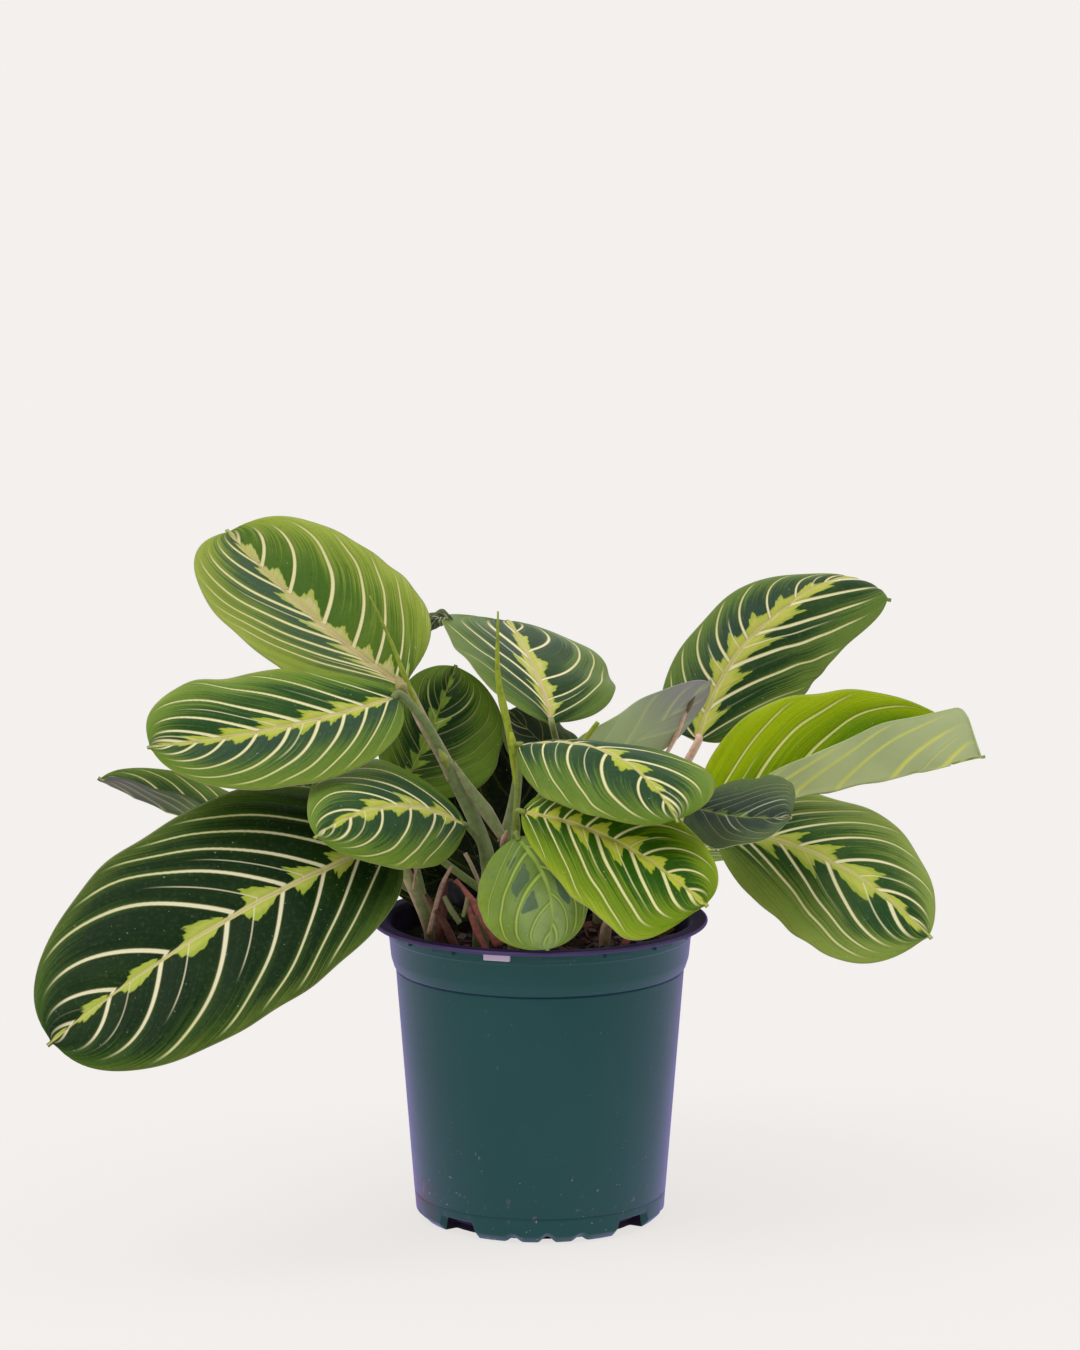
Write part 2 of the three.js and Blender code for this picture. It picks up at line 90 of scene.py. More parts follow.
# A blade has three points of its midrib, the way its upper side faces (azimuth, elevation), its
# left and right halves, and its tint. band: how far the pale lobes reach from the midrib. floor:
# the least share of that between lobes. veins: how many a side has. dusk: how much painted
# grey-blue sheen, a painted reflection, lies on the right and the left half. warm: how warm the
# lobed band is. thin: how wide veins and midrib are drawn. bare: the share at the base without
# lobes. rib_bend: where the midrib leaves the middle line, how far it does so by the tip, and its
# bow
Blade = namedtuple("Blade", "base middle tip faces left right tint band floor veins dusk"
                            " under warm thin bare twist rib_bend",
                   defaults=(6, .3, 7, (.1, .1), "green", 0, 1, -1, 0, (.5, 0, 0)))


def rear(base, middle, tip, faces, width, tint="mid", floor=.4, veins=7.4, dusk=(.1, .1)):
    half = (width, .5, .5, .5, 6, -20)
    return Blade(base, middle, tip, faces, half, half, tint, 6, floor, veins, dusk)


LEAVES = {
    "front_left": Blade((-49, -36, 135.5), (-103, -72, 116.3), (-158, -95, 81), (-15, 30),
        (36.5, .58, .45, .42, 4, -10, (.8, .7, 0), (7.3, .18)),
        (43, .42, .33, .42, 6, -14, (1, .6, 0), (7.5, .24)), "deep", 6, 0, 8, (0, 0)),
    "top_left": Blade((-46.5, 8, 181), (-77.5, 20, 203), (-108, 44, 230), (26, 38),
        (32, .62, .6, .42, (15, 16), -10, (1.4, .5, 0), (7.4, .2)),
        (34, .42, .25, .33, (20, 22), (-20, -16), (.3, .7, 1.5), (6.9, .66)),
        "lime", 7, .3, 7.6, (0, .8), warm=.8),
    "mid_left": Blade((-48, -14, 181), (-89.5, -36, 173.3), (-128, -54, 171), (-10, 48),
        (25.5, .42, .45, .5, 4, -15, (.4, .7, 2), (9.5, .64)),
        (30.5, .55, .5, .42, 8, -25, (.5, .2, 5), (7.6, .87)), "mid", 5.5, .4, 8.2, (.1, .6), warm=.2),
    "centre_left": Blade((-25, -18, 138), (-49, -45, 149.5), (-73, -70, 144), (0, 45),
        (23, .5, .55, .5, -8, -25, (.3, .9, 2), (6, .49)),
        (27, .42, .45, .75, 0, -22, (1, .4, .5), (4.9, .66)), "mid", 5.5, .3, 7.4, (.3, .25), warm=.2),
    "far_left": Blade((-93, 15, 127), (-122.5, 20, 134), (-151.5, 22, 147), (0, 55),
        (18, .5, .5, .6, 60, 20),
        (16, .5, .5, .6, 10, 0), "dusk", 4, .3, 7, (.3, .3), under="grey"),
    "behind_left": Blade((-51, 14, 139), (-77, 22, 142), (-105, 24, 139), (0, 60),
        (17, .5, .5, .5, 10, 0),
        (15, .5, .5, .5, 10, 0), "dusk", 4, .3, 7, (.3, .3)),
    "centre_back": Blade((4, 8, 168.5), (-2, 36, 182.5), (-11.5, 84, 192.5), (0, 60),
        (27, .85, .7, .22, (10, 12), (0, 10), (2.2, 0, .5), (4.4, .35)),
        (28, .52, .5, .5, -4, -18, (.3, 1.4, .5), (5, .75)), "dusk", 5.5, .5, 7, (0, .2), warm=.6),
    "dark_back": Blade((-47, 12, 145), (-37.5, 25, 163.5), (-29, 42, 183), (0, 25),
        (17, .5, .5, .5, 5, -10),
        (26, .45, .5, .5, 5, -20), "shade", 5, 0, 7, (0, 0), thin=0),
    "under_right": Blade((2.5, -3, 147), (30.5, 3, 162.5), (58, 8, 183), (180, 40),
        (13.5, .5, .5, .5, 0, 10, (1.5, 0, 0), (5, .3)),
        (14.5, .38, .4, .6, 0, 10, (1.5, 0, 0), (5, .6)), "mid", 4, .3, 7, (.3, .3), under="violet"),
    "upper_right": Blade((54, 18, 161), (79.5, 40, 199), (121.5, 46, 205), (-5, 30),
        (18.5, .28, .16, .5, 0, (-20, -40), (.4, .6, 0), (9.3, .04)),
        (27, .4, .45, .5, 0, -10, (.8, 1.2, 4), (6.2, .25)),
        "dusk", 7.5, .5, 7.2, (.05, .5), twist=-30, rib_bend=(.5, 17, 0)),
    "rolled": Blade((53, -12, 140.5), (100.5, -16, 150), (148.5, -20, 162), (0, 80),
        (34, .42, .55, .6, 62, 12),
        (25, .95, 1.2, .15, (78, 70), (10, -10)), "glow", 5, 0, 6.5, (0, 0), under="pale"),
    "lower_right": Blade((60, -8, 134), (96, -30, 128.5), (128.5, -55, 107.5), (10, 38),
        (30, .46, .32, .8, -4, -20, (1, .2, 0), (6.7, .26)),
        (29, .72, .55, .36, -2, -20, (1.1, 2, .5), (4.6, .55)), "silver", 7.5, .3, 7.4, (.1, .1)),
    "small_dark": Blade((50.5, -28, 146.5), (66, -42, 145.5), (82, -55, 148), (5, 45),
        (20.5, .5, .35, .42, 5, -15, (1.2, .8, 0), (6, .3)),
        (15, .45, .5, .5, 8, -10, (1.2, .8, 0), (5, .5)), "slate", 2, 0, 6, (0, 0), thin=0),
    "front_centre": Blade((-7, -22, 166), (23.5, -48, 167.5), (44.5, -74, 150), (15, 60),
        (25, .65, .5, .4, (-28, 18), (-50, -20), (.3, .1, 6), (8, .39)),
        (24, .45, .5, .5, -10, -40, (.1, .7, 6), (5.7, .08)), "mid", 5, .12, 8, (.35, .35), bare=.42),
    "front_lower": Blade((-6, -36, 146), (25.5, -58, 140), (54, -80, 123.5), (5, 35),
        (19.5, .5, .5, .42, 8, -20, (.2, .3, 3), (8.1, .91)),
        (28, .84, .68, .24, 8, -10, (.3, .6, 6), (6.9, .04)), "fresh", 7, 0, 7.6, (0, 0)),
    "young_round": Blade((-7.5, -34, 137), (-1.5, -50, 121.5), (2.5, -58, 104), (-5, 35),
        (18.5, .42, .45, .45, 0, -20, (.5, 1.3, 1.5), (4.6, .5)),
        (19.5, .5, .45, .45, 0, -20, (.5, 1.3, 1.5), (4.6, .2)),
        "young", 0, 0, 4.6, (0, 0), rib_bend=(.5, 0, 4.5)),
    "rear_left": rear((-34, 30, 128), (-66, 52, 132), (-92, 74, 112), (215, 62), 24),
    "rear_centre": rear((-10, 42, 121), (-16, 78, 125), (-24, 112, 104), (190, 62), 25, "dusk"),
    "rear_right": rear((22, 36, 126), (44, 66, 130), (62, 94, 108), (150, 62), 24, floor=0, dusk=(0, 0)),
    "side_right": rear((40, 18, 118), (72, 30, 118), (100, 40, 98), (120, 66), 20, veins=7.2),
}


def tucked(base, middle, tip, width, tint="painted_shade_dark"):
    return Blade(base, middle, tip, (10, 30), (width, .5, .5, .5, 10, -20),
                 (width, .5, .5, .5, 0, -30), tint, 0, 0, 6, (0, 0), "grey", thin=0)


# Small dark leaves deep in the plant, behind the stems, and the rolled corner of the back leaf;
# the near-black tint of three of them is painted shade
TUCKED = {
    "tucked_high": tucked((12, 20, 150), (1, 27, 158), (-11, 31, 169), 12, "slate"),
    "tucked_mid": tucked((-2, 20, 108), (-8, 29, 134), (-10, 40, 163), 15),
    "tucked_low": tucked((-12, 22, 103), (-31, 27, 110), (-55, 30, 115), 14),
    "tucked_left": tucked((-18, 18, 112), (-29, 29, 136), (-35, 39, 158), 14),
    "back_corner": tucked((-30.5, 66, 195), (-35.8, 65, 196), (-38.5, 65, 191.5), 3.3, "slate"),
}

ROWS = 96
COLUMNS = 60
WAVES = 2.5
WAVE_HEIGHT = .8
OVAL_END = .985
DRIP_TIP_WIDTH = .08
DRIP_TIP_LENGTH = .06
FULL_LIFT_WIDTH = 6
BLADE_END_WIDTH = 1.4
BLADE_THICKNESS = .5
RIB_HEIGHT = .9
RIB_HALF_WIDTH = 1.1
QUILT_HEIGHT = .6
QUILT_FULL_SPACING = 8
CHANNEL_DEPTH = .55
CHANNEL_HALF_WIDTH = 1.6
VEIN_CROWDING = .25
WIDEST_SPACING = .57


def facing(azimuth, elevation):
    a, e = radians(azimuth), radians(elevation)
    return np.array([sin(a) * cos(e), -cos(a) * cos(e), sin(e)])


def turned_about(vectors, axes, angles):
    c, s = np.cos(angles)[:, None], np.sin(angles)[:, None]
    along = np.sum(vectors * axes, axis=1)[:, None]
    return vectors * c + np.cross(axes, vectors) * s + axes * along * (1 - c)


def half_width(along, side):
    to_base = np.clip((side.widest - along) / side.widest, 0, 1)
    to_tip = np.clip((along - side.widest) / (OVAL_END - side.widest), 0, 1)
    fullness = np.where(along < side.widest, (1 - to_base ** 2) ** side.base_end,
                        (1 - to_tip ** 2) ** side.tip_end)
    drip = DRIP_TIP_WIDTH * np.clip((1 - along) / DRIP_TIP_LENGTH, 0, 1)
    drip = np.where(along > side.widest, drip, 0)
    return np.maximum(side.width * np.maximum(fullness, drip), BLADE_END_WIDTH / 2)


def vein_field(leaf, along, out, signed, width, length, seed):
    """Phase of the veins, a whole number on each vein, its spacing in mm and the vein's origin."""
    def by_side(read):
        return np.where(signed >= 0, read(Half(*leaf.left), own_left), read(Half(*leaf.right), own_right))

    rng = np.random.default_rng(seed)
    own_left, own_right = rng.uniform(0, 1), rng.uniform(0, 1)
    start, end, near_tip = (by_side(lambda side, own, k=k: side.sweep[k]) for k in range(3))
    veins = by_side(lambda side, own: side.veins[0] or leaf.veins)
    first = by_side(lambda side, own: side.veins[1] or own)
    lean = by_side(lambda side, own: side.width) / length
    run = lean * (start * out + end * out ** 3)
    slope = lean * (start + 3 * end * out ** 2)
    origin = (along[:, None] - run) / (1 + near_tip * run)
    turn = 2 * pi * (np.clip(origin, -.2, 1) - WIDEST_SPACING)
    at_base = sin(2 * pi * WIDEST_SPACING)
    wander = .05 * np.sin(9.3 * origin + seed) * (1 + out)
    crowded = origin - VEIN_CROWDING / (2 * pi) * (np.sin(turn) + at_base)
    phase = veins * crowded + first + wander
    pace = veins * (1 - VEIN_CROWDING * np.cos(turn)) / (1 + near_tip * run)
    across_pace = pace * slope * (1 + near_tip * origin) / np.maximum(width, 4)
    return phase, 1 / np.sqrt((pace / length) ** 2 + across_pace ** 2), origin


def blade_grid(leaf, seed):
    """Points and normals of the blade's middle surface, and what the pattern needs."""
    base, middle, tip = np.array(leaf[:3], float)
    control = 2 * middle - (base + tip) / 2
    share = np.linspace(0, 1, ROWS + 1)
    along = .25 * share + .75 * (1 - np.cos(pi * share)) / 2
    k = along[:, None]
    rib = (1 - k) ** 2 * base + 2 * k * (1 - k) * control + k * k * tip
    ahead = 2 * (1 - k) * (control - base) + 2 * k * (tip - control)
    ahead /= np.linalg.norm(ahead, axis=1)[:, None]
    face = facing(*leaf.faces) - ahead * (ahead @ facing(*leaf.faces))[:, None]
    face /= np.linalg.norm(face, axis=1)[:, None]
    face = turned_about(face, ahead, np.radians(leaf.twist) * (along - .5))
    left = np.cross(face, ahead)

    across = np.linspace(-1, 1, COLUMNS + 1)
    out = np.abs(across)
    outward = np.where(across >= 0, 1.0, -1.0)
    length = np.sum(np.linalg.norm(np.diff(rib, axis=0), axis=1))
    rng = np.random.default_rng(seed + 100)
    halves = [Half(*leaf.left), Half(*leaf.right)]
    widths = []
    for side in halves:
        first, second, _, _ = rng.uniform(0, 2 * pi, 4)
        ripple = .014 * np.sin(15 * along + first) + .008 * np.sin(31 * along + second)
        widths.append(half_width(along, side) * (1 + ripple * np.sin(pi * along)))

    def by_side(at_left, at_right):
        return np.where(across[None, :] >= 0, at_left[:, None], at_right[:, None])

    def angle(values):
        ends = [np.broadcast_to(value, 2) for value in values]
        return by_side(*(np.radians(first + (last - first) * along) for first, last in ends))

    width = by_side(*widths)
    lift = angle([side.lift for side in halves]) * np.minimum(1, width / FULL_LIFT_WIDTH)
    curl = angle([side.curl for side in halves])
    slope = lift + curl * out
    bend = curl * out / 2
    chord = out * width * np.sinc(bend / pi)
    turns = WAVES * along[:, None] + np.where(outward < 0, .5, 0)
    wave = WAVE_HEIGHT * out ** 2 * np.sin(2 * pi * turns) * np.sin(pi * along[:, None])

    normal = face[:, None] * np.cos(slope)[..., None]
    normal = normal - left[:, None] * (outward * np.sin(slope))[..., None]
    point = rib[:, None] + left[:, None] * (outward * chord * np.cos(lift + bend))[..., None]
    point = point + face[:, None] * (chord * np.sin(lift + bend))[..., None] + normal * wave[..., None]

    # The midrib may bow off the middle line, or run off it toward the tip
    first_bent, shift, bow = leaf.rib_bend
    aside = shift * np.clip((along - first_bent) / (1 - first_bent), 0, 1) ** 1.5
    aside = aside + bow * np.sin(pi * along)
    signed = across[None, :] * width - aside[:, None]
    drawn = np.where(signed >= 0, (widths[0] - aside)[:, None], (widths[1] + aside)[:, None])
    drawn = np.maximum(drawn, .5)
    place = np.clip(np.abs(signed) / drawn, 0, 1)

    # Soft quilting between the veins and a channel over the midrib
    phase, spacing, origin = vein_field(leaf, along, place, signed, drawn, length, seed)
    arch = np.sin(pi * (phase - np.floor(phase))) ** .8
    quilt = arch * np.clip(spacing / QUILT_FULL_SPACING, 0, 1) * (1 - place ** 6)
    channel = np.exp(-(place * drawn / CHANNEL_HALF_WIDTH) ** 2) * (1 - .5 * along[:, None])
    point = point + normal * (QUILT_HEIGHT * quilt - CHANNEL_DEPTH * channel)[..., None]
    return SimpleNamespace(
        point=point, normal=normal, along=along, out=out, signed=signed, place=place,
        drawn=drawn, width=width, phase=phase, spacing=spacing, origin=origin)


def true_normals(point):
    normal = np.cross(np.gradient(point, axis=1), np.gradient(point, axis=0))
    size = np.linalg.norm(normal, axis=2, keepdims=True)
    return normal / np.maximum(size, 1e-9)


def new_object(name, vertices, faces, materials, smooth=True):
    """A mesh object from vertices in mm."""
    mesh = bpy.data.meshes.new(name)
    mesh.from_pydata([tuple(v) for v in np.array(vertices) * MM], [], faces)
    for material in materials:
        mesh.materials.append(material)
    if smooth:
        mesh.shade_smooth()
    mesh.update()
    return add_object(mesh)


def set_vector(mesh, name, values):
    attribute = mesh.attributes.new(name, "FLOAT_VECTOR", "POINT")
    attribute.data.foreach_set("vector", np.asarray(values, np.float32).ravel())


def make_leaf(name, leaf, seed, materials):
    grid = blade_grid(leaf, seed)
    point = grid.point
    normal = true_normals(point)
    flip = np.sum(normal * grid.normal, axis=2, keepdims=True) < 0
    normal = np.where(flip, -normal, normal)
    thickness = BLADE_THICKNESS * (1 - .5 * grid.out ** 4)[None, :, None]
    rib = np.exp(-(grid.out * grid.width / RIB_HALF_WIDTH) ** 2) * (1 - .8 * grid.along[:, None])
    upper = point + normal * thickness / 2
    under = point - normal * (thickness / 2 + RIB_HEIGHT * rib[..., None])
    vertices = np.concatenate([upper.reshape(-1, 3), under.reshape(-1, 3)])

    count = (ROWS + 1) * (COLUMNS + 1)
    index = np.arange(count).reshape(ROWS + 1, COLUMNS + 1)
    a, b, c, d = index[:-1, :-1], index[:-1, 1:], index[1:, 1:], index[1:, :-1]
    top = np.stack((a, d, c, b), axis=2).reshape(-1, 4)
    bottom = np.stack((a, b, c, d), axis=2).reshape(-1, 4) + count
    ring = np.concatenate((index[0, :-1], index[:-1, -1], index[-1, :0:-1], index[:0:-1, 0]))
    after = np.roll(ring, -1)
    edge = np.stack((ring, after, after + count, ring + count), axis=1)
    faces = np.concatenate((top, bottom, edge)).tolist()
    made = new_object("visual_leaf_" + name, vertices, faces, materials)
    made.data.polygons.foreach_set("material_index", [0] * len(top) + [1] * (len(faces) - len(top)))

    along = np.broadcast_to(grid.along[:, None], index.shape)
    left_half = grid.signed >= 0
    across = np.where(left_half, 1, -1) * np.maximum(grid.place, .001)
    right_dusk, left_dusk = leaf.dusk
    dusk = np.where(left_half, left_dusk, right_dusk)
    shares = (leaf.band, leaf.floor, leaf.warm, leaf.thin, leaf.bare, seed)
    band, floor, warm, thin, bare, seeds = (np.full(dusk.shape, share) for share in shares)
    for label, fields in (("blade", (along, across, grid.drawn)),
                          ("vein", (grid.phase, grid.spacing, grid.place * grid.drawn)),
                          ("look", (band, floor, dusk)),
                          ("more", (grid.origin, warm, seeds)),
                          ("fine", (thin, bare, bare))):
        values = np.stack(fields, axis=2).reshape(-1, 3)
        set_vector(made.data, label, np.concatenate([values, values]))
    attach(made, "root")
    return made


# Materials

def srgb(*colour):
    shares = [value / 255 for value in colour]
    return tuple(s / 12.92 if s <= .04045 else ((s + .055) / 1.055) ** 2.4 for s in shares)


class Nodes:
    """A short way to write a node tree. A colour of three numbers is in steps of 255."""

    def __init__(self, name, kind=bpy.data.materials):
        self.owner = kind.new(name)
        self.owner.use_nodes = True
        self.tree = self.owner.node_tree

    def node(self, kind, **settings):
        made = self.tree.nodes.new("ShaderNode" + kind)
        for key, value in settings.items():
            setattr(made, key, value)
        return made

    def link(self, value, socket):
        if isinstance(value, tuple):
            socket.default_value = (*srgb(*value), 1) if len(value) == 3 else value
        elif isinstance(value, (int, float)):
            socket.default_value = value
        else:
            self.tree.links.new(value, socket)

    def made_from(self, made, *values):
        for value, socket in zip(values, made.inputs):
            self.link(value, socket)
        return made.outputs[0]

    def math(self, operation, *values):
        return self.made_from(self.node("Math", operation=operation), *values)

    def add(self, first, second):
        return self.math("ADD", first, second)

    def times(self, first, *others):
        for other in others:
            first = self.math("MULTIPLY", first, other)
        return first

    def step(self, value, low, high, at_low, at_high):
        return self.made_from(self.node("MapRange", interpolation_type="SMOOTHSTEP"),
                              value, low, high, at_low, at_high)

    def rise(self, value, low, high, top=1.0):
        return self.step(value, low, high, .0, top)

    def fall(self, value, low, high, top=1.0):
        return self.step(value, low, high, top, .0)

    def within(self, value, limit, soft):
        """One below the limit and nought above it, with a soft edge."""
        return self.fall(value, self.add(limit, -soft), self.add(limit, soft))

    def mix(self, share, first, second):
        made = self.node("Mix", data_type="RGBA")
        for value, place in ((share, 0), (first, 6), (second, 7)):
            self.link(value, made.inputs[place])
        return made.outputs[2]

    def coats(self, colour, **coats):
        """The colour with each named coat (share, shade) laid over it in turn."""
        for share, shade in coats.values():
            colour = self.mix(share, colour, shade)
        return colour

    def ramp(self, value, stops):
        made = self.node("ValToRGB")
        elements = made.color_ramp.elements
        while len(elements) < len(stops):
            elements.new(.5)
        for element, (place, colour) in zip(elements, stops):
            element.position = place
            element.color = (*srgb(*colour), 1) if isinstance(colour, tuple) else (colour,) * 3 + (1,)
        return self.made_from(made, value)

    def noise(self, scale, detail=3.0, roughness=.5, at=None):
        made = self.node("TexNoise")
        self.link(self.position() if at is None else at, made.inputs["Vector"])
        for key, value in (("Scale", scale), ("Detail", detail), ("Roughness", roughness)):
            made.inputs[key].default_value = value
        return made.outputs[0]

    def position(self):
        return self.node("NewGeometry").outputs["Position"]

    def split(self, vector):
        apart = self.node("SeparateXYZ")
        self.link(vector, apart.inputs[0])
        return apart.outputs

    def attribute(self, name):
        return self.split(self.node("Attribute", attribute_name=name).outputs["Vector"])

    def vector(self, x, y, z):
        return self.made_from(self.node("CombineXYZ"), x, y, z)

    def bump(self, height, strength, distance):
        made = self.node("Bump")
        for key, value in (("Strength", strength), ("Distance", distance), ("Height", height)):
            self.link(value, made.inputs[key])
        return made.outputs[0]

    def finish(self, colour, roughness, normal=None, **constants):
        shader = self.tree.nodes["Principled BSDF"]
        self.link(colour, shader.inputs["Base Color"])
        self.link(roughness, shader.inputs["Roughness"])
        if normal is not None:
            self.link(normal, shader.inputs["Normal"])
        for key, value in constants.items():
            shader.inputs[key.replace("_", " ")].default_value = value
        return self.owner


# Blade colours: near the midrib, further out, along the margin, the lobes by the midrib and
# the veins, and where along the way out the inner colour gives way to the outer one

Shades = namedtuple("Shades", "inner outer margin lobe vein spread")
TINTS = {
    "deep": ((14, 42, 10), (62, 92, 24), (98, 116, 40), (188, 200, 82), (238, 232, 192), (.62, 1.26)),
    "lime": ((70, 106, 26), (150, 168, 58), (176, 188, 88), (206, 204, 118), (234, 228, 170), (.38, 1.05)),
    "fresh": ((30, 82, 0), (118, 146, 16), (172, 186, 44), (200, 206, 58), (236, 236, 164), (.3, .85)),
    "mid": ((26, 70, 12), (106, 136, 40), (142, 158, 54), (194, 202, 72), (238, 234, 180), (.3, .84)),
    "dusk": ((30, 62, 24), (100, 126, 50), (116, 136, 60), (200, 202, 88), (236, 230, 180), (.4, 1.0)),
    "slate": ((48, 64, 54), (90, 108, 70), (108, 124, 80), (98, 120, 60), (206, 208, 172), (.4, 1.0)),
    "shade": ((20, 52, 10), (104, 134, 42), (96, 124, 40), (120, 148, 56), (206, 210, 150), (.25, .85)),
    # painted_shade_dark: leaf colours darkened nearly to black, painted shade deep in the plant
    "painted_shade_dark": ((8, 22, 6), (34, 48, 16), (36, 50, 20), (40, 56, 20), (56, 66, 40), (.3, 1.0)),
    "young": ((116, 142, 66), (122, 148, 58), (140, 162, 44), (150, 170, 60), (164, 190, 88), (.3, 1.0)),
    "silver": ((28, 70, 18), (134, 156, 66), (150, 164, 72), (194, 202, 84), (238, 234, 184), (.35, .98)),
    "glow": ((118, 152, 0), (160, 184, 0), (176, 196, 36), (170, 192, 20), (236, 240, 146), (.1, .9)),
}

# The pale lobe between two veins: places from vein to vein, and how far it reaches there
LOBE_OUTLINE = [
    (0, .1), (.13, .18), (.19, .5), (.25, .52), (.31, .8), (.37, .76), (.46, 1),
    (.53, .9), (.58, .6), (.64, .6), (.72, .28), (.8, .12), (1, .1)]


def vein_masks(n):
    """Masks of the blade pattern: veins, midrib, lobed band, and helpful fields."""
    along, across, width = n.attribute("blade")
    phase, spacing, out_mm = n.attribute("vein")
    band, floor, dusk = n.attribute("look")
    origin, warm, seed = n.attribute("more")
    thin, bare, _ = n.attribute("fine")
    out = n.math("ABSOLUTE", across)
    side = n.math("SIGN", across)
    part = n.math("FRACT", phase)
    away = n.times(n.math("MINIMUM", part, n.math("SUBTRACT", 1.0, part)), spacing)
    chance = n.noise(3.7, 0, at=n.vector(n.add(n.math("FLOOR", phase), seed), side, seed))
    size = n.times(n.step(width, 6, 40, .5, 1), thin)

    vein_half = n.times(n.step(out, 0, 1, .74, .33), size)
    fade = n.times(n.fall(out, .86, .97), n.fall(n.add(along, n.times(out, .12)), .92, 1.04))
    fade = n.times(fade, n.rise(origin, -.08, -.02))
    vein = n.times(n.within(away, vein_half, .26), fade)
    line = n.times(n.within(away, n.add(vein_half, .42), .3), fade)
    between = n.times(n.math("ABSOLUTE", n.add(part, -.56)), spacing)
    hair = n.times(n.within(between, .2, .22), n.fall(out, .4, .62), n.rise(chance, .55, .6))
    vein = n.math("MAXIMUM", vein, n.times(hair, fade, .75))

    rib_half = n.times(n.step(along, 0, 1, 1.3, .3), size)
    midrib = n.within(out_mm, rib_half, .3)
    groove = n.within(out_mm, n.times(rib_half, .12), .16)

    jag = n.noise(1, 2, at=n.vector(n.times(phase, 7), n.times(out_mm, .5), n.add(side, seed)))
    lobe = n.times(n.ramp(part, LOBE_OUTLINE), n.add(.55, n.times(chance, .9)))
    lobe = n.times(lobe, n.add(.7, n.times(jag, .6)))
    lobe = n.math("MAXIMUM", lobe, n.times(floor, n.add(.6, n.times(jag, .8))))
    reach = n.times(band, lobe, n.step(width, 2, 26, .15, 1), n.step(along, .5, .95, 1, .4))
    reach = n.times(reach, n.rise(along, n.add(bare, -.06), n.add(bare, .12)))
    lobed = n.within(out_mm, reach, .4)
    core = n.times(n.within(out_mm, n.times(reach, .62), .8), n.rise(out_mm, 1.2, 2.2))
    streak = n.noise(1, 4, .65, n.vector(n.times(phase, 13), n.times(out, 1.2), n.add(side, seed)))
    return SimpleNamespace(
        along=along, out=out, out_mm=out_mm, dusk=dusk, warm=warm, vein=vein, line=line, midrib=midrib,
        groove=groove, lobed=lobed, core=core, away=away, chance=chance, streak=streak,
        fine=n.noise(700, 4, .6), cloud=n.noise(45))


def young_coats(n, m, colour):
    """Pale toward the tip, mottled, with ragged dark patches between the veins."""
    patch = n.times(n.rise(m.out, .12, .24), n.fall(m.out, .38, .58), n.rise(m.away, .6, 2))
    patch = n.times(patch, n.rise(m.along, .12, .2), n.fall(m.along, .6, .72))
    patch = n.times(patch, n.step(m.chance, .32, .42, .3, 1))
    ragged = n.add(patch, n.times(n.add(n.noise(240), -.5), 1.7))
    pale = n.times(n.rise(m.along, .4, .6), n.fall(m.out, .3, .7), .8)
    return n.coats(
        colour, pale=(pale, (150, 172, 104)),
        mottle=(n.rise(n.noise(160, 5, .7), .45, .65, .3), (92, 112, 84)),
        patches=(n.rise(ragged, .5, .72, .75), (66, 92, 80)))


def leaf_upper(name, tint):
    n = Nodes("leaf_" + name)
    m = vein_masks(n)
    spread = n.add(m.out, n.times(n.add(m.streak, -.5), 1.7))
    spread = n.add(spread, n.times(n.add(m.cloud, -.5), .3))
    spread = n.add(spread, n.rise(m.along, .75, 1, .3))
    to_margin = n.add(m.out, n.times(m.streak, .6))
    beside = n.times(n.fall(m.away, .8, 2.6, .5), n.rise(m.out, .2, .8))
    colour = n.coats(
        tint.inner, outer=(n.rise(spread, *tint.spread), tint.outer),
        margin=(n.rise(to_margin, 1.1, 1.36), tint.margin), beside=(beside, tint.outer))
    if name == "young":
        colour = young_coats(n, m, colour)
    if name == "glow":
        green = n.times(n.rise(m.along, .3, .75), n.fall(m.out, .55, .95), .9)
        colour = n.mix(green, colour, (84, 132, 14))
    # dusky: a painted grey-blue reflection over each half, as strong as its dusk share, most toward the
    # midrib and away from the veins
    dusky = n.times(m.dusk, n.step(spread, .3, .75, .85, .2), n.rise(m.away, .4, 1.6))
    colour = n.coats(
        colour, dusky=(dusky, (64, 84, 78)),
        clouds=(n.rise(m.cloud, .4, .75, .16), tint.outer),
        bright_grain=(n.rise(m.fine, .5, .75, .08), (140, 164, 110)),
        dark_grain=(n.fall(m.fine, .25, .45, .18), (10, 24, 8)),
        dust=(n.rise(n.noise(820, 1), .76, .8, .5), (176, 190, 168)))

    lime = n.mix(.5, tint.lobe, (140, 168, 34))
    pink = n.mix(m.warm, n.mix(.35, tint.lobe, (214, 204, 120)), (222, 200, 160))
    band = n.mix(n.times(m.core, .85), n.mix(n.rise(m.out_mm, .5, 5), tint.lobe, lime), pink)
    band = n.mix(n.rise(m.streak, .4, .7, .4), band, lime)
    yellow = n.mix(.55, tint.vein, (176, 190, 70))
    golden = tint.vein if name in ("young", "painted_shade_dark") else (196, 184, 84)
    rib = n.mix(m.warm, n.mix(.6, tint.vein, golden), (212, 188, 150))
    groove = n.times(m.groove, .1 if name == "young" else .45)
    # lines: a thin dark olive line beside each vein, partly the vein's brownish edge and partly painted
    # shade beside the raised vein
    colour = n.coats(
        colour, lobes=(n.times(m.lobed, .94), band), lines=(n.times(m.line, .4), (84, 84, 36)),
        veins=(m.vein, n.mix(n.rise(m.out, .3, 1), tint.vein, yellow)),
        midrib=(m.midrib, rib), groove=(groove, (140, 120, 76)),
        edge=(n.rise(m.out, .978, 1, .5), (150, 150, 112)))

    ridge = n.times(n.add(m.vein, m.midrib), -.6)
    grain = n.add(n.times(m.fine, .35), n.times(m.streak, .9))
    normal = n.bump(n.add(ridge, grain), .45, .0007)
    return n.finish(colour, n.add(.34, n.times(m.fine, .14)), normal, Specular_IOR_Level=.1)


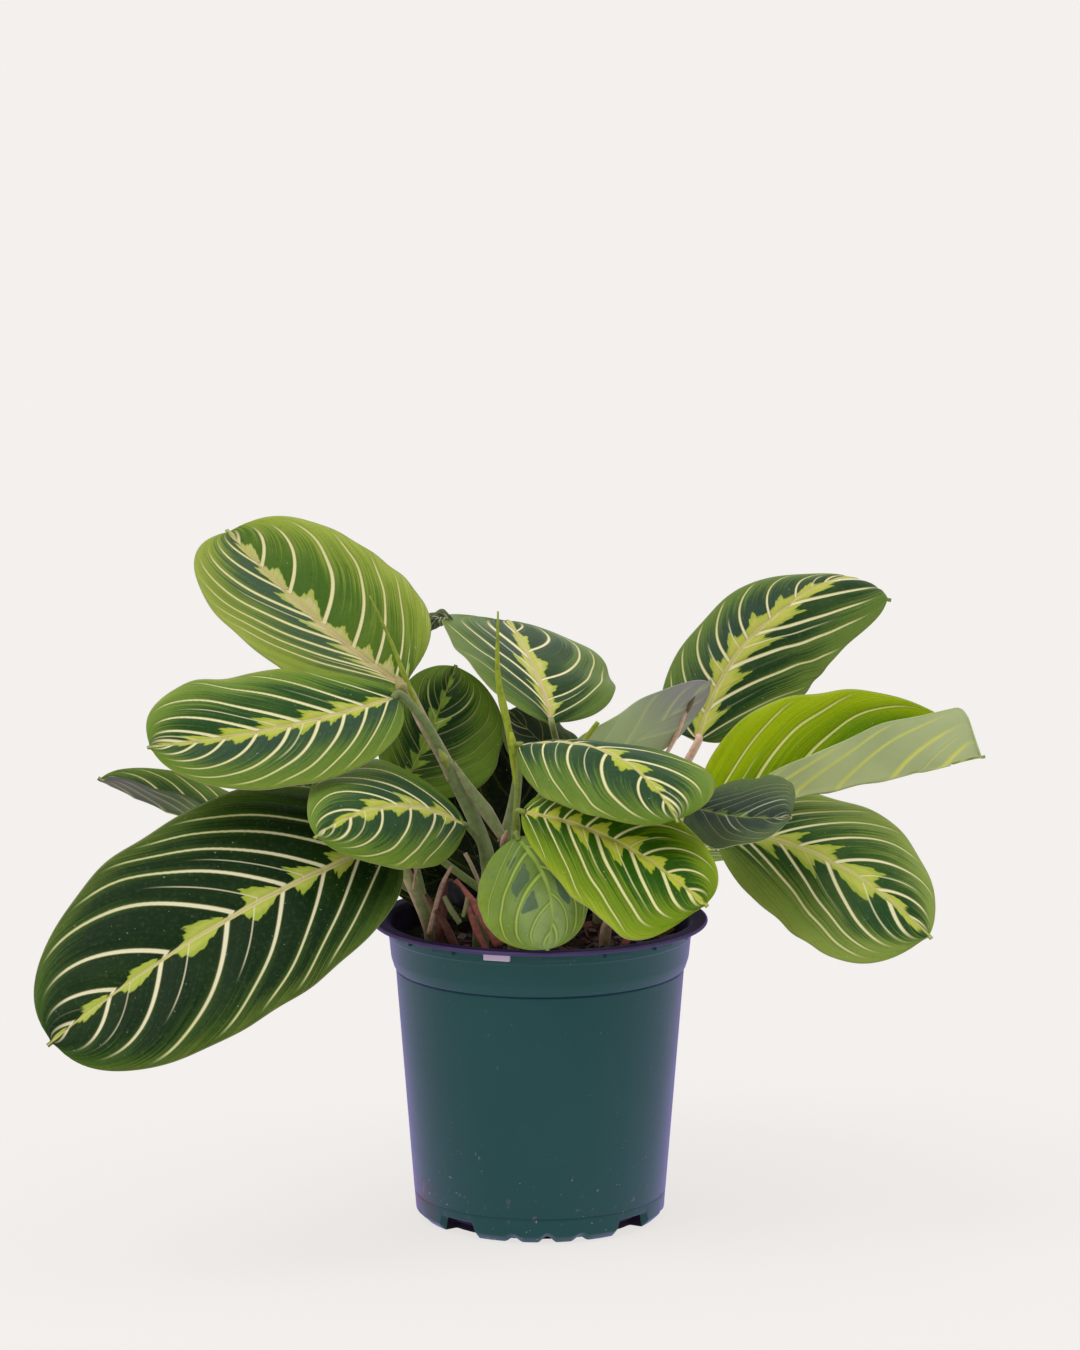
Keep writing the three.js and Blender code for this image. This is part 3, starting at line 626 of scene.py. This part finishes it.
def leaf_under(name, pale, deep, vein_share=.8, vein=(222, 228, 156)):
    n = Nodes("leaf_under_" + name)
    m = vein_masks(n)
    colour = n.coats(
        pale, deep=(n.rise(m.along, .45, .95), deep),
        streaks=(n.rise(m.streak, .35, .75, .35), pale),
        clouds=(n.rise(m.cloud, .35, .75, .3), (126, 144, 96)),
        lines=(n.times(m.line, vein_share, .45), vein),
        veins=(n.times(m.vein, vein_share), vein),
        midrib=(n.times(m.midrib, .7), (186, 192, 140)))
    raised = n.times(n.add(m.vein, m.midrib), .8)
    normal = n.bump(n.add(raised, n.times(m.fine, .3)), .35, .0006)
    return n.finish(colour, .6, normal, Specular_IOR_Level=.14)


# Pot

# Radius and height along the wall, once around it: underside, foot, foot ring and body, the crease
# under the collar, collar, band, flange and lip, and the inside down to the floor
POT_PROFILE = [
    (.01, .8), (30, .8), (31, 0), (35.2, 0), (36, 0), (40, 0), (42.6, 2.5),
    (42.65, 4), (42.95, 8.2), (42.55, 8.7), (43.05, 9), (49, 85.5),
    (48.2, 86), (49.5, 86.5), (50.6, 90), (51.35, 97.3), (51.8, 97.7), (51.8, 101.3),
    (52.4, 101.6), (56.6, 101.6), (57, 102.1), (56.9, 102.8), (56, 103),
    (52.1, 102.9), (50.6, 101.5), (49.8, 88.5), (47.8, 86), (41.4, 2), (34.7, 2), (.01, 2)]
CORNER_RADIUS = .5
FLANGE_RADIUS = 57
FLANGE_BOTTOM = 101.6
BAND_RADIUS = 51.8
FOOT_RADIUS = 40
POT_SEGMENTS = 640
FOOT_TURN = radians(3.4)
FOOT_RING = 8
NOTCH_HALF_WIDTH = 7
NOTCH_HEIGHT = 5
NOTCH_DEPTH = 4.5
NOTCH_SOFTNESS = 1.2
SCALLOPS = ((-16, .7), (0, 1), (16, .7))
SCALLOP_HALF_WIDTH = 3.4
SCALLOP_HEIGHT = 2.2
RIM_LUGS = 16
RIM_LUG_SIZE = (9, 1.6, 2.6)
RIM_LUG_EDGE = .25
# One lug is painted pale: a painted glint of light under the flange
GLINT_LUG = 15
GLINT_LUG_SIZE = (9, 2.2, 2.8)
VIOLET_SHEEN = (.4, .25, 1, 1)


def foot_cut(angle):
    """How far the foot's lower edge is cut away at this angle: drain notches and scallops."""
    quarter = pi / 2
    angle -= FOOT_TURN
    to_notch = angle % quarter - quarter / 2
    beyond = abs(to_notch) * FOOT_RADIUS - NOTCH_HALF_WIDTH
    cut = NOTCH_HEIGHT * min(1, max(0, .5 - beyond / NOTCH_SOFTNESS))
    to_middle = (angle + quarter / 2) % quarter - quarter / 2
    for place, share in SCALLOPS:
        distance = abs(to_middle - radians(place)) * FOOT_RADIUS
        if distance < SCALLOP_HALF_WIDTH:
            dip = share * SCALLOP_HEIGHT
            cut = max(cut, dip * (1 + cos(pi * distance / SCALLOP_HALF_WIDTH)) / 2)
    return cut


def rounded(points, radius, steps):
    """The closed profile with each corner rounded by a short arc-like curve."""
    made = []
    for index, corner in enumerate(points):
        here = Vector(corner)
        to_before = Vector(points[index - 1]) - here
        to_after = Vector(points[(index + 1) % len(points)]) - here
        reach = min(radius, to_before.length * .4, to_after.length * .4)
        start = here + to_before.normalized() * reach
        end = here + to_after.normalized() * reach
        for step in range(steps + 1):
            k = step / steps
            made.append(tuple(start * (1 - k) ** 2 + here * 2 * k * (1 - k) + end * k * k))
    return made


def turned_pot(profile):
    """The pot's wall of revolution, with the foot's notches and scallops pressed upward."""
    count = len(profile)
    vertices, faces = [], []
    for turn in range(POT_SEGMENTS):
        angle = 2 * pi * turn / POT_SEGMENTS
        cut = foot_cut(angle)
        here, after = turn * count, (turn + 1) % POT_SEGMENTS * count
        for index, (radius, height) in enumerate(profile):
            near_edge = min(1, max(0, (radius - FOOT_RADIUS + NOTCH_DEPTH) / .6))
            lifted = height + cut * near_edge * max(0, 1 - height / FOOT_RING)
            vertices.append((*around(radius, angle), lifted))
            above = (index + 1) % count
            faces.append((here + index, after + index, after + above, here + above))
    return vertices, faces


def pot_material():
    n = Nodes("pot_plastic")
    across, _, height = n.split(n.position())
    cloudy = n.noise(24, 4)
    speck = n.noise(520, 2, .7)
    scuff = n.noise(90, 6, .7)
    grit = n.noise(300, 4)
    dirt = n.times(n.rise(speck, .7, .72), n.step(height, .01, .04, 1, .15))
    soiled = n.times(n.fall(height, .01, .02), n.fall(across, -.04, -.033), n.rise(grit, .4, .54))
    ring = n.times(n.rise(height, .006, .009), n.fall(height, .011, .018))
    colour = n.coats(
        n.mix(cloudy, (20, 72, 73), (28, 80, 81)),
        scuffs=(n.rise(scuff, .6, .8, .2), (60, 88, 86)),
        dirt=(n.times(dirt, .75), (160, 156, 156)),
        soil=(n.times(soiled, .9), (74, 54, 50)),
        ring=(n.times(ring, n.rise(grit, .6, .7), .6), (120, 104, 112)))
    bumps = n.add(n.times(cloudy, .6), n.times(speck, .15))
    return n.finish(colour, n.add(.36, n.times(scuff, .16)), n.bump(bumps, .15, .0003),
                    Specular_IOR_Level=.25, Sheen_Weight=.8, Sheen_Roughness=.36, Sheen_Tint=VIOLET_SHEEN)


# The plastic in one flat tone: a dark copy is painted shade, a light violet copy a painted highlight
def painted_light_plastic(name, dark, light, sheen):
    n = Nodes(name)
    scuff = n.noise(90, 6, .7)
    return n.finish(n.mix(scuff, dark, light), n.add(.55, n.times(scuff, .2)), None,
                    Specular_IOR_Level=.05, Sheen_Weight=sheen, Sheen_Roughness=.3, Sheen_Tint=VIOLET_SHEEN)


def make_lug(index, plain, bright):
    angle = (index + .3) * 2 * pi / RIM_LUGS
    size = GLINT_LUG_SIZE if index == GLINT_LUG else RIM_LUG_SIZE
    block = bmesh.new()
    bmesh.ops.create_cube(block, size=1)
    bmesh.ops.scale(block, vec=[length * MM for length in size], verts=block.verts)
    bmesh.ops.bevel(block, geom=block.edges[:], offset=RIM_LUG_EDGE * MM, segments=2, affect="EDGES",
                    profile=.5)
    bmesh.ops.rotate(block, matrix=Matrix.Rotation(angle, 3, "Z"), verts=block.verts)
    middle = FLANGE_BOTTOM - size[2] / 2 + .1
    place = Vector((*around(BAND_RADIUS + .2, angle), middle)) * MM
    bmesh.ops.translate(block, vec=place, verts=block.verts)
    mesh = bpy.data.meshes.new("visual_lug_%02d" % index)
    block.to_mesh(mesh)
    block.free()
    mesh.materials.append(bright if index == GLINT_LUG else plain)
    lug = add_object(mesh)
    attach(lug, "root")


def make_pot():
    profile = rounded(POT_PROFILE, CORNER_RADIUS, 2)
    vertices, faces = turned_pot(profile)
    plastic = pot_material()
    # A dark copy of the plastic: painted shade under the foot, on the flange top and inside
    rim = painted_light_plastic("pot_painted_shade", (16, 10, 24), (28, 18, 42), .12)
    # A light violet copy of the plastic: a painted highlight on the lip
    lip = painted_light_plastic("pot_lip_painted_highlight", (66, 54, 92), (90, 76, 122), .5)
    pot = new_object("visual_pot", vertices, faces, [plastic, rim, lip])

    # Painted shade under the foot, on the flange top and inside (a dark copy of the plastic), plain on
    # the outer wall, a painted highlight on the lip (a lit violet copy)
    radii = [radius for radius, _ in profile]
    side = next(index for index, radius in enumerate(radii) if radius > FOOT_RADIUS - .3)
    beyond = [index for index, radius in enumerate(radii) if radius > FLANGE_RADIUS - .7]
    looks = [1] * side + [0] * (beyond[0] - side) + [2] * (beyond[-1] - beyond[0])
    looks += [1] * (len(profile) - beyond[-1])
    pot.data.polygons.foreach_set("material_index", looks * POT_SEGMENTS)
    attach(pot, "root")
    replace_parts(pot, "pot")
    # The pale lug's material is a painted glint of light, not the plastic's own colour
    bright = Nodes("pot_lug_painted_glint").finish((216, 194, 222), .4)
    for index in range(RIM_LUGS):
        make_lug(index, plastic, bright)


# Soil

SOIL_LEVEL = 94
SOIL_RADIUS = 49.4
SOIL_RINGS = 46
SOIL_TURNS = 150
SOIL_UNDERSIDE = 90
BARK_CHIPS = 18
CRUMBS = 420
FIBRES = 46


def soil_height(x, y):
    broad = .9 * sin(.21 * x + .8) * cos(.17 * y) + .5 * sin(.47 * y - .3 * x)
    return SOIL_LEVEL + broad


def soil_material():
    n = Nodes("soil_mix")
    lump = n.noise(420, 6, .7)
    colour = n.ramp(lump, [(.3, (9, 6, 7)), (.5, (20, 14, 13)), (.66, (40, 26, 22)), (.8, (70, 48, 38))])
    colour = n.mix(n.rise(n.noise(70), .4, .7, .4), colour, (34, 22, 18))
    return n.finish(colour, .92, n.bump(lump, .9, .0015), Specular_IOR_Level=.15)


def bark_material():
    n = Nodes("soil_bark")
    tone, grey, _ = n.attribute("bark")
    grain = n.noise(500, 5, .7)
    colour = n.coats(
        n.mix(tone, (24, 14, 14), (94, 54, 44)), grey=(grey, (92, 80, 80)),
        cracks=(n.fall(grain, .35, .7, .55), (22, 14, 12)))
    return n.finish(colour, .8, n.bump(grain, .6, .0006), Specular_IOR_Level=.2)


def chip_sequence(state):
    while True:
        state = (state * 1664525 + 1013904223) % 4294967296
        yield state / 4294967296


def rough_block(size, turns, x, y, lift, rng):
    """A block of 26 points with broken edges on the soil at x, y, as vertices in mm and faces."""
    made = bmesh.new()
    bmesh.ops.create_cube(made, size=1)
    bmesh.ops.subdivide_edges(made, edges=made.edges[:], cuts=1, use_grid_fill=True)
    turn = Euler(turns, "XYZ").to_matrix()
    place = Vector((x, y, soil_height(x, y) + lift))
    vertices = []
    for vertex in made.verts:
        spot = vertex.co.copy()
        spot *= 1 - .22 * max(0, spot.length - .5)
        spot += Vector([rng.uniform(-.07, .07) for _ in range(3)])
        vertices.append(tuple(turn @ Vector(a * b for a, b in zip(spot, size)) + place))
    faces = [tuple(v.index for v in face.verts) for face in made.faces]
    made.free()
    return vertices, faces


def bark_pieces():
    """The bark chips of the solid, small crumbs between them and thin root fibres."""
    rng = random.Random(7)
    draw = chip_sequence(41)
    for _ in range(BARK_CHIPS):
        angle = next(draw) * 2 * pi
        radius = 8 + 34 * sqrt(next(draw))
        size = (4 + 7 * next(draw), 2.5 + 2.5 * next(draw), 1.6 + next(draw))
        turns = ((next(draw) - .5) * .5, (next(draw) - .5) * .5, next(draw) * pi)
        x, y = around(radius, angle)
        yield (*rough_block(size, turns, x, y, .2, rng), rng.uniform(.2, .9), rng.uniform(0, .5))
    for _ in range(CRUMBS):
        x, y = random_spot(rng, 48)
        big = rng.random() ** 3
        size = (1 + 5 * big, .8 + 2.6 * big, .7 + 1.3 * big)
        turns = [rng.uniform(-.5, .5), rng.uniform(-.5, .5), rng.uniform(0, pi)]
        block = rough_block(size, turns, x, y, .3, rng)
        yield (*block, rng.random() ** 1.5, rng.choice((0, 0, 0, .4, .8)))
    for _ in range(FIBRES):
        x, y = random_spot(rng, 42)
        heading = rng.uniform(0, 2 * pi)
        points = []
        for step in range(4):
            points.append((x, y, min(soil_height(x, y), 95) + rng.uniform(.2, 1.4)))
            x += 3.2 * cos(heading)
            y += 3.2 * sin(heading)
            heading += rng.uniform(-.6, .6)
        if hypot(x, y) < 47:
            path = smooth_path(points, 3)
            thick = rng.uniform(.2, .42)
            vertices, faces, _ = tube(path, [thick] * len(path), 5)
            yield (vertices, faces, rng.uniform(.3, 1), 0)


def random_spot(rng, limit):
    angle = rng.uniform(0, 2 * pi)
    return around(limit * sqrt(rng.random()), angle)


def joined(pieces):
    """The vertices, faces and marks of many pieces in three lists."""
    vertices, faces, marks = [], [], []
    for some, more, marked in pieces:
        start = len(vertices)
        vertices += [tuple(v) for v in some]
        faces += [tuple(start + index for index in face) for face in more]
        marks += marked
    return vertices, faces, marks


def make_bark():
    pieces = ((some, more, [(tone, grey, 0)] * len(some)) for some, more, tone, grey in bark_pieces())
    vertices, faces, shades = joined(pieces)
    bark = new_object("visual_bark", vertices, faces, [bark_material()], smooth=False)
    set_vector(bark.data, "bark", shades)
    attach(bark, "root")


def make_soil():
    angles = [2 * pi * turn / SOIL_TURNS for turn in range(SOIL_TURNS)]
    vertices = [(0, 0, soil_height(0, 0))]
    for ring in range(1, SOIL_RINGS + 1):
        reach = SOIL_RADIUS * ring / SOIL_RINGS
        for angle in angles:
            x, y = around(reach, angle)
            crumb = noise.fractal(Vector((x * .35, y * .35, 0)), .6, 2.1, 4) * .9
            crumb += noise.noise(Vector((x * 1.3, y * 1.3, 5))) * .45
            vertices.append((x, y, soil_height(x, y) + crumb))
    vertices += [(*around(SOIL_RADIUS, angle), SOIL_UNDERSIDE) for angle in angles]
    faces = [(0, 1 + turn, 1 + (turn + 1) % SOIL_TURNS) for turn in range(SOIL_TURNS)]
    for ring in range(SOIL_RINGS):
        for turn in range(SOIL_TURNS):
            a = 1 + ring * SOIL_TURNS + turn
            b = 1 + ring * SOIL_TURNS + (turn + 1) % SOIL_TURNS
            faces.append((a, a + SOIL_TURNS, b + SOIL_TURNS, b))
    low = 1 + SOIL_RINGS * SOIL_TURNS
    faces.append(tuple(low + turn for turn in reversed(range(SOIL_TURNS))))
    soil = new_object("visual_soil", vertices, faces, [soil_material()])
    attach(soil, "root")
    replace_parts(soil, "soil")
    make_bark()


# Stems: routes in mm, as in the solids. skin is how rosy and how yellow a branch is; above one the
# first also paints the pink lighter, a painted highlight where a branch lies in the leaves' shadow.
# Where the second is below nought it is withered, and at -2 nearly black. A route that begins with
# x and y alone comes straight up out of the soil. leaf names the blade that a branch ends at
Branch = namedtuple("Branch", "radii skin points leaf flat", defaults=(None, 1.0))

STEMS = {
    "main": [
        ((3.1, 2.7, 2.3), (.15, 0), [(-20, -12), (-19, -12, 110), (-18, -12, 128), (-31.5, -8, 158)],
         None, .7),
        ((2.4, 2.3, 1.4), (.4, 0), [(-29, -8.8, 152), (-33, -6, 160), (-40, 1, 171)], "top_left", .7),
        ((1.5, 1.5, 1.2), (.1, .1), [(-28, -9, 150), (-32, -9, 159), (-38, -11, 171)], "mid_left"),
        ((1.4, 1.2, 1), (.1, .1), [(-18.5, -12, 122), (-20, -14, 131)], "centre_left"),
        ((1.4, 1.2, 1), (.1, .2), [(-18.8, -12, 114), (-34, -4, 124), (-46, 5, 134)], "dark_back"),
        ((1.1, 1, .3), (0, .8), [(-30, -8.5, 155), (-38, -6, 169), (-44.5, -4.5, 184), (-50, -4, 198),
         (-57, -6, 214)]),
    ],
    "front": [
        ((2.4, 1.7, 1.2), (.3, 0), [(-9, -20), (-10, -19, 112), (-9, -20, 132)]),
        ((1.2, 1, 1), (0, .45), [(-9, -20, 130), (-7.5, -19, 150), (-7.2, -20.5, 161)], "front_centre"),
        ((1.1, .9, .9), (0, .5), [(-9, -20, 128), (-7.5, -27, 139)], "front_lower"),
        ((1.1, 1, .9), (0, .4), [(-10, -19.2, 116), (-9.5, -27, 130)], "young_round"),
        ((1, 1.35, .3), (0, 1), [(-7.5, -19, 150), (-10.5, -16.5, 170), (-14, -15, 188), (-14, -15, 210)]),
    ],
    "left": [
        ((2.8, 2.5, 1.9), (.5, 0), [(-36, -24), (-38, -26, 108), (-45, -32.5, 126)], None, .7),
        ((1.9, 1.6, 1.3), (.3, .2), [(-42, -30, 119), (-46.5, -34, 129)], "front_left"),
    ],
    "left_back": [
        ((1.8, 1.6, 1.4), (.3, 0), [(-36, 6), (-40, 7, 108), (-60, 11, 120)]),
        ((1.4, 1.2, 1), (.2, 0), [(-52, 9.5, 116), (-75, 13, 123)], "far_left"),
        ((1.2, 1.1, 1), (.2, 0), [(-38.5, 6.8, 104), (-44, 10, 125)], "behind_left"),
    ],
    "right": [
        ((2.1, 1.9, 1.6), (.7, 0), [(22, -12), (25, -12, 106), (38, -13, 124)]),
        ((1.5, 1.4, 1.2), (.4, .2), [(34, -12.5, 119), (46, -12.5, 133)], "rolled"),
        ((1.4, 1.3, 1.1), (.4, .2), [(30, -12.4, 113), (45, -10, 125)], "lower_right"),
        ((1.2, 1.1, 1), (.4, 0), [(27, -12, 109), (37, -19, 130)], "small_dark"),
    ],
    "back": [
        ((2.3, 2, 1.7), (.3, 0), [(10, 8), (10, 8, 108), (18, 8, 126)]),
        # This petiole's rosiness above one paints it lighter: a painted highlight
        ((1.6, 1.5, 1.3), (1.35, 0), [(14, 8, 118), (32, 14, 132), (46, 17, 147)], "upper_right"),
        ((1.4, 1.2, 1.1), (.3, .3), [(10, 8, 106), (11, 22, 132), (7, 17, 154)], "centre_back"),
        ((1.2, 1.1, 1), (.3, 0), [(10, 8, 104), (1, 3, 120), (-2, -2, 139)], "under_right"),
    ],
    "rear": [
        ((2.1, 1.9, 1.6), (.4, 0), [(-6, 26), (-6, 27, 106), (-8, 33, 120)]),
        ((1.4, 1.3, 1.1), (.2, .1), [(-7, 30, 113), (-8.5, 36, 118)], "rear_centre"),
        ((1.4, 1.3, 1.1), (.2, .1), [(-6, 27, 107), (-22, 28, 121)], "rear_left"),
    ],
    "rear_right": [
        ((2, 1.8, 1.5), (.4, 0), [(20, 24), (20, 24, 104), (21, 29, 116)]),
        ((1.4, 1.3, 1.1), (.2, .1), [(20.5, 27, 112), (21.5, 32, 120)], "rear_right"),
        ((1.3, 1.2, 1), (.2, .1), [(20, 24, 103), (31, 20, 112)], "side_right"),
    ],
}

# Sheaths, knots, stumps and dead pieces at the feet of the stems
EXTRAS = [
    ((.6, 1.7, 2.4, 1.6), (.3, 0), [(-29, -10, 158), (-24, -12, 150), (-18, -14, 142), (-12.5, -16, 133.5)],
     None, .5),
    ((2.6, 2.2, 1.5), (.1, 0), [(-12, -8, 130), (-9, -6, 142), (-7, -5, 156)], None, .5),
    ((.4, 1.6, .4), (.2, .55), [(-31, -11, 156), (-32, -12, 159.5), (-34, -12, 163)], None, .9),
    ((.6, 1.4, .7), (0, 1), [(-8.6, -21, 162.5), (-9, -21.5, 166), (-9.6, -20, 170)]),
    ((.5, 2.2, .5), (.9, .5), [(-44.5, -8, 180), (-46.5, -8, 183.5), (-48, -7, 187)], None, .9),
    ((.4, 1.2, .4), (1, 0), [(-13.2, -20, 131), (-12, -21, 134), (-11, -22, 137)], None, .9),
    ((1, 1.7, 2.4), (1, -1), [(-28.3, -30, 121.8), (-20.6, -34, 112.5), (-13, -37, 101)], None, .5),
    ((.7, .7, .6), (.5, 0), [(-25, -25, 130), (-21.7, -26, 123.4), (-15, -27, 107)]),
    ((.7, 1.1, 1), (0, -.5), [(-31.8, -36, 117.5), (-29.5, -36, 113), (-26.6, -36, 108.5)]),
    ((.6, .8, .7), (.2, -.45), [(-24.2, -35, 117), (-24.6, -35.5, 114), (-25.6, -36, 110.5)]),
    ((.5, 2.5, 2.7, .5), (0, -2), [(-30, -33, 122), (-28.8, -33, 119), (-27, -33, 115.5),
     (-26, -33, 112.5)], None, .5),
    ((.5, .9, .9), (1, -.35), [(-29.3, -31, 127), (-33, -31, 119), (-37, -32, 104)], None, .6),
    ((.4, .5, .4), (1, 0), [(-40.6, -33, 128), (-41.6, -33, 124), (-42.2, -33, 119.5)]),
    ((.8, 1.3, 1), (1, -1), [(-24, -35, 114), (-21, -36, 106), (-17, -38, 98)], None, .6),
    ((1.4, 1.8, 1.1), (.9, -1), [(-34, -30, 96), (-33, -31, 108), (-30, -28, 122)], None, .6),
    ((1.8, 1.4, .6), (.9, -1), [(-27, -34, 96), (-31, -33, 106), (-38, -30, 117)], None, .5),
    ((1.6, 1.2, .5), (1, -1), [(26, -38, 96), (29.6, -36, 104), (36, -30, 108)], None, .5),
    ((.8, .9, .8), (0, 1), [(12.5, -8, 161), (16.8, -8, 167.7), (19.5, -8, 171.4)]),
    # This strip's rosiness above one paints it lighter: a painted highlight where it lies in shadow
    ((.6, .9, .6), (1.5, 0), [(42, 12, 155), (46.5, 11, 164), (50, 9, 173.5)], None, .8),
    ((.4, .9, .4), (.5, -.6), [(50, 8, 172), (51, 7.5, 175), (52.4, 7, 178)], None, .8),
]


def smooth_path(points, per_span=10):
    """A Catmull-Rom curve through the points."""
    given = [np.array(p, float) for p in points]
    ends = [2 * given[0] - given[1]] + given + [2 * given[-1] - given[-2]]
    made = []
    for index in range(1, len(ends) - 2):
        a, b, c, d = ends[index - 1:index + 3]
        for step in range(per_span):
            k = step / per_span
            bent = (2 * a - 5 * b + 4 * c - d) * k ** 2 + (3 * b - a - 3 * c + d) * k ** 3
            made.append(.5 * (2 * b + (c - a) * k + bent))
    made.append(given[-1])
    return np.array(made)


def tube(path, radii, sides=14, flat=1.0):
    """Vertices, faces and sideways places of a closed round bar along a path, in mm."""
    count = len(path)
    tangent = np.gradient(path, axis=0)
    tangent /= np.linalg.norm(tangent, axis=1)[:, None]
    guide = np.array([.3, -1.0, .1])
    vertices, faces, sideways = [], [], []
    for row in range(count):
        side = np.cross(tangent[row], guide)
        side /= np.linalg.norm(side)
        front = np.cross(side, tangent[row])
        for turn in range(sides):
            angle = 2 * pi * turn / sides
            across, forward = cos(angle) * radii[row], sin(angle) * radii[row] * flat
            vertices.append(path[row] + side * across + front * forward)
            sideways.append(cos(angle))
    for row in range(count - 1):
        lower, upper = row * sides, (row + 1) * sides
        for turn in range(sides):
            after = (turn + 1) % sides
            faces.append((lower + turn, lower + after, upper + after, upper + turn))
    faces.append(tuple(reversed(range(sides))))
    faces.append(tuple((count - 1) * sides + turn for turn in range(sides)))
    return vertices, faces, sideways


def stem_material():
    n = Nodes("stem_skin")
    height = n.split(n.position())[2]
    rosy, yellow, sideways = n.attribute("skin")
    cloudy = n.noise(60)
    fibre = n.noise(500, 4, .6)
    green = n.mix(cloudy, (92, 114, 58), (146, 160, 108))
    pink = n.mix(fibre, (158, 124, 110), (208, 170, 152))
    # Above one, rosiness paints the pink lighter still: a painted highlight where a branch lies in shadow
    pink = n.mix(n.rise(rosy, 1, 1.5), pink, (250, 208, 184))
    flank = n.rise(n.math("ABSOLUTE", sideways), .55, 1, .55)
    share = n.add(n.times(rosy, .75), n.times(flank, n.add(.25, rosy)))
    share = n.add(share, n.times(n.add(cloudy, -.5), .7))
    shoot = n.mix(fibre, (134, 152, 24), (172, 184, 50))
    brown = n.mix(fibre, (58, 30, 28), (124, 74, 62))
    withered = n.mix(n.rise(rosy, .92, 1), brown, n.mix(fibre, (112, 58, 52), (186, 112, 98)))
    colour = n.coats(
        green, rosy=(n.rise(share, .1, .9), pink), shoot=(n.rise(yellow, 0, 1, .95), shoot),
        withered=(n.fall(yellow, -1, -.2), withered),
        black=(n.fall(yellow, -2, -1.2), (14, 8, 18)),
        soil=(n.fall(height, .094, .104, .6), (70, 42, 36)),
        fibres=(n.fall(fibre, .3, .6, .25), (44, 50, 34)))
    return n.finish(colour, .5, n.bump(fibre, .3, .0004), Specular_IOR_Level=.25)


def branch_path(branch):
    points = branch.points
    if len(points[0]) == 2:
        points = [(*points[0], 84), (*points[0], 99)] + points[1:]
    if branch.leaf:
        base, middle, tip = np.array(LEAVES[branch.leaf][:3], float)
        ahead = 2 * middle - (base + tip) / 2 - base
        ahead /= np.linalg.norm(ahead)
        points = points + [base - 2 * ahead, base + 1.5 * ahead]
    return smooth_path(points)


def bar(branch):
    path = branch_path(branch)
    share = np.linspace(0, 1, len(path))
    radii = np.interp(share, np.linspace(0, 1, len(branch.radii)), branch.radii)
    vertices, faces, sideways = tube(path, radii, flat=branch.flat)
    return vertices, faces, [(*branch.skin, place) for place in sideways]


def make_stem(name, branches, material):
    vertices, faces, skins = joined(bar(Branch(*row)) for row in branches)
    made = new_object("visual_stem_" + name, vertices, faces, [material])
    set_vector(made.data, "skin", skins)
    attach(made, "root")
    return made


# Studio

FLOOR_SIZE = 40000
FLOOR_GLOW = .73
FLOOR_GLOW_COLOUR = (1, .972, .945, 1)
FRONT_SKY = .35
BACK_SKY = 1.0
TOP_SKY = 1.0
HIGH_SKY_COLOUR = (1, .995, .985, 1)
LOW_SKY_COLOUR = (.82, .74, 1, 1)
VIOLET_LIGHT = (.5, .34, 1)


def make_floor():
    n = Nodes("studio_floor")
    colour = n.mix(n.noise(3), (106, 105, 104), (109, 108, 107))
    material = n.finish(colour, .8, None, Specular_IOR_Level=.0, Emission_Strength=FLOOR_GLOW,
                        Emission_Color=FLOOR_GLOW_COLOUR)
    corners = [(x * FLOOR_SIZE, y * FLOOR_SIZE, 0) for x, y in ((-1, -1), (1, -1), (1, 1), (-1, 1))]
    floor = new_object("floor", corners, [(0, 1, 2, 3)], [material], smooth=False)


def sun_light(name, comes_from, spread, strength, colour):
    data = bpy.data.lights.new(name, "SUN")
    data.angle = radians(spread)
    data.energy = strength
    data.color = colour
    light = add_object(data)
    light.rotation_mode = "QUATERNION"
    light.rotation_quaternion = Vector(comes_from).to_track_quat("Z", "Y")


def make_sky():
    """A bright sky behind and above, dimmer in front and violet low down at the sides."""
    n = Nodes("studio", bpy.data.worlds)
    _, back, up = n.split(n.node("TexCoord").outputs["Generated"])
    background = n.tree.nodes["Background"]
    n.link(n.mix(n.fall(up, 0, .35), HIGH_SKY_COLOUR, LOW_SKY_COLOUR), background.inputs[0])
    low = n.step(back, -.9, -.1, FRONT_SKY, BACK_SKY)
    n.link(n.math("MAXIMUM", low, n.rise(up, .45, .95, TOP_SKY)), background.inputs[1])
    scene.world = n.owner


def make_studio():
    make_floor()
    sun_light("key", (-.5, -.35, 1), 35, .9, (1, .99, .97))
    sun_light("violet_left", (-1, .35, .1), 50, .36, VIOLET_LIGHT)
    sun_light("violet_right", (1, .35, .1), 50, .42, VIOLET_LIGHT)
    make_sky()
    scene.view_settings.view_transform = "Standard"
    scene.view_settings.look = "None"


make_studio()
make_pot()
make_soil()
uppers = {name: leaf_upper(name, Shades(*tint)) for name, tint in TINTS.items()}
unders = {
    "green": leaf_under("green", (192, 202, 136), (178, 192, 132)),
    "violet": leaf_under("violet", (190, 210, 152), (160, 152, 166), .3),
    "grey": leaf_under("grey", (72, 86, 54), (98, 94, 98), .2),
    "pale": leaf_under("pale", (200, 212, 152), (190, 204, 148), .95, (226, 230, 118)),
}
for seed, (name, leaf) in enumerate(LEAVES.items(), 11):
    made = make_leaf(name, leaf, seed, [uppers[leaf.tint], unders[leaf.under]])
    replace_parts(made, "leaf_" + name)
for seed, (name, leaf) in enumerate(TUCKED.items(), 61):
    make_leaf(name, leaf, seed, [uppers[leaf.tint], unders[leaf.under]])
stem_skin = stem_material()
for name, branches in STEMS.items():
    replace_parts(make_stem(name, branches, stem_skin), "stem_" + name)
make_stem("extras", EXTRAS, stem_skin)
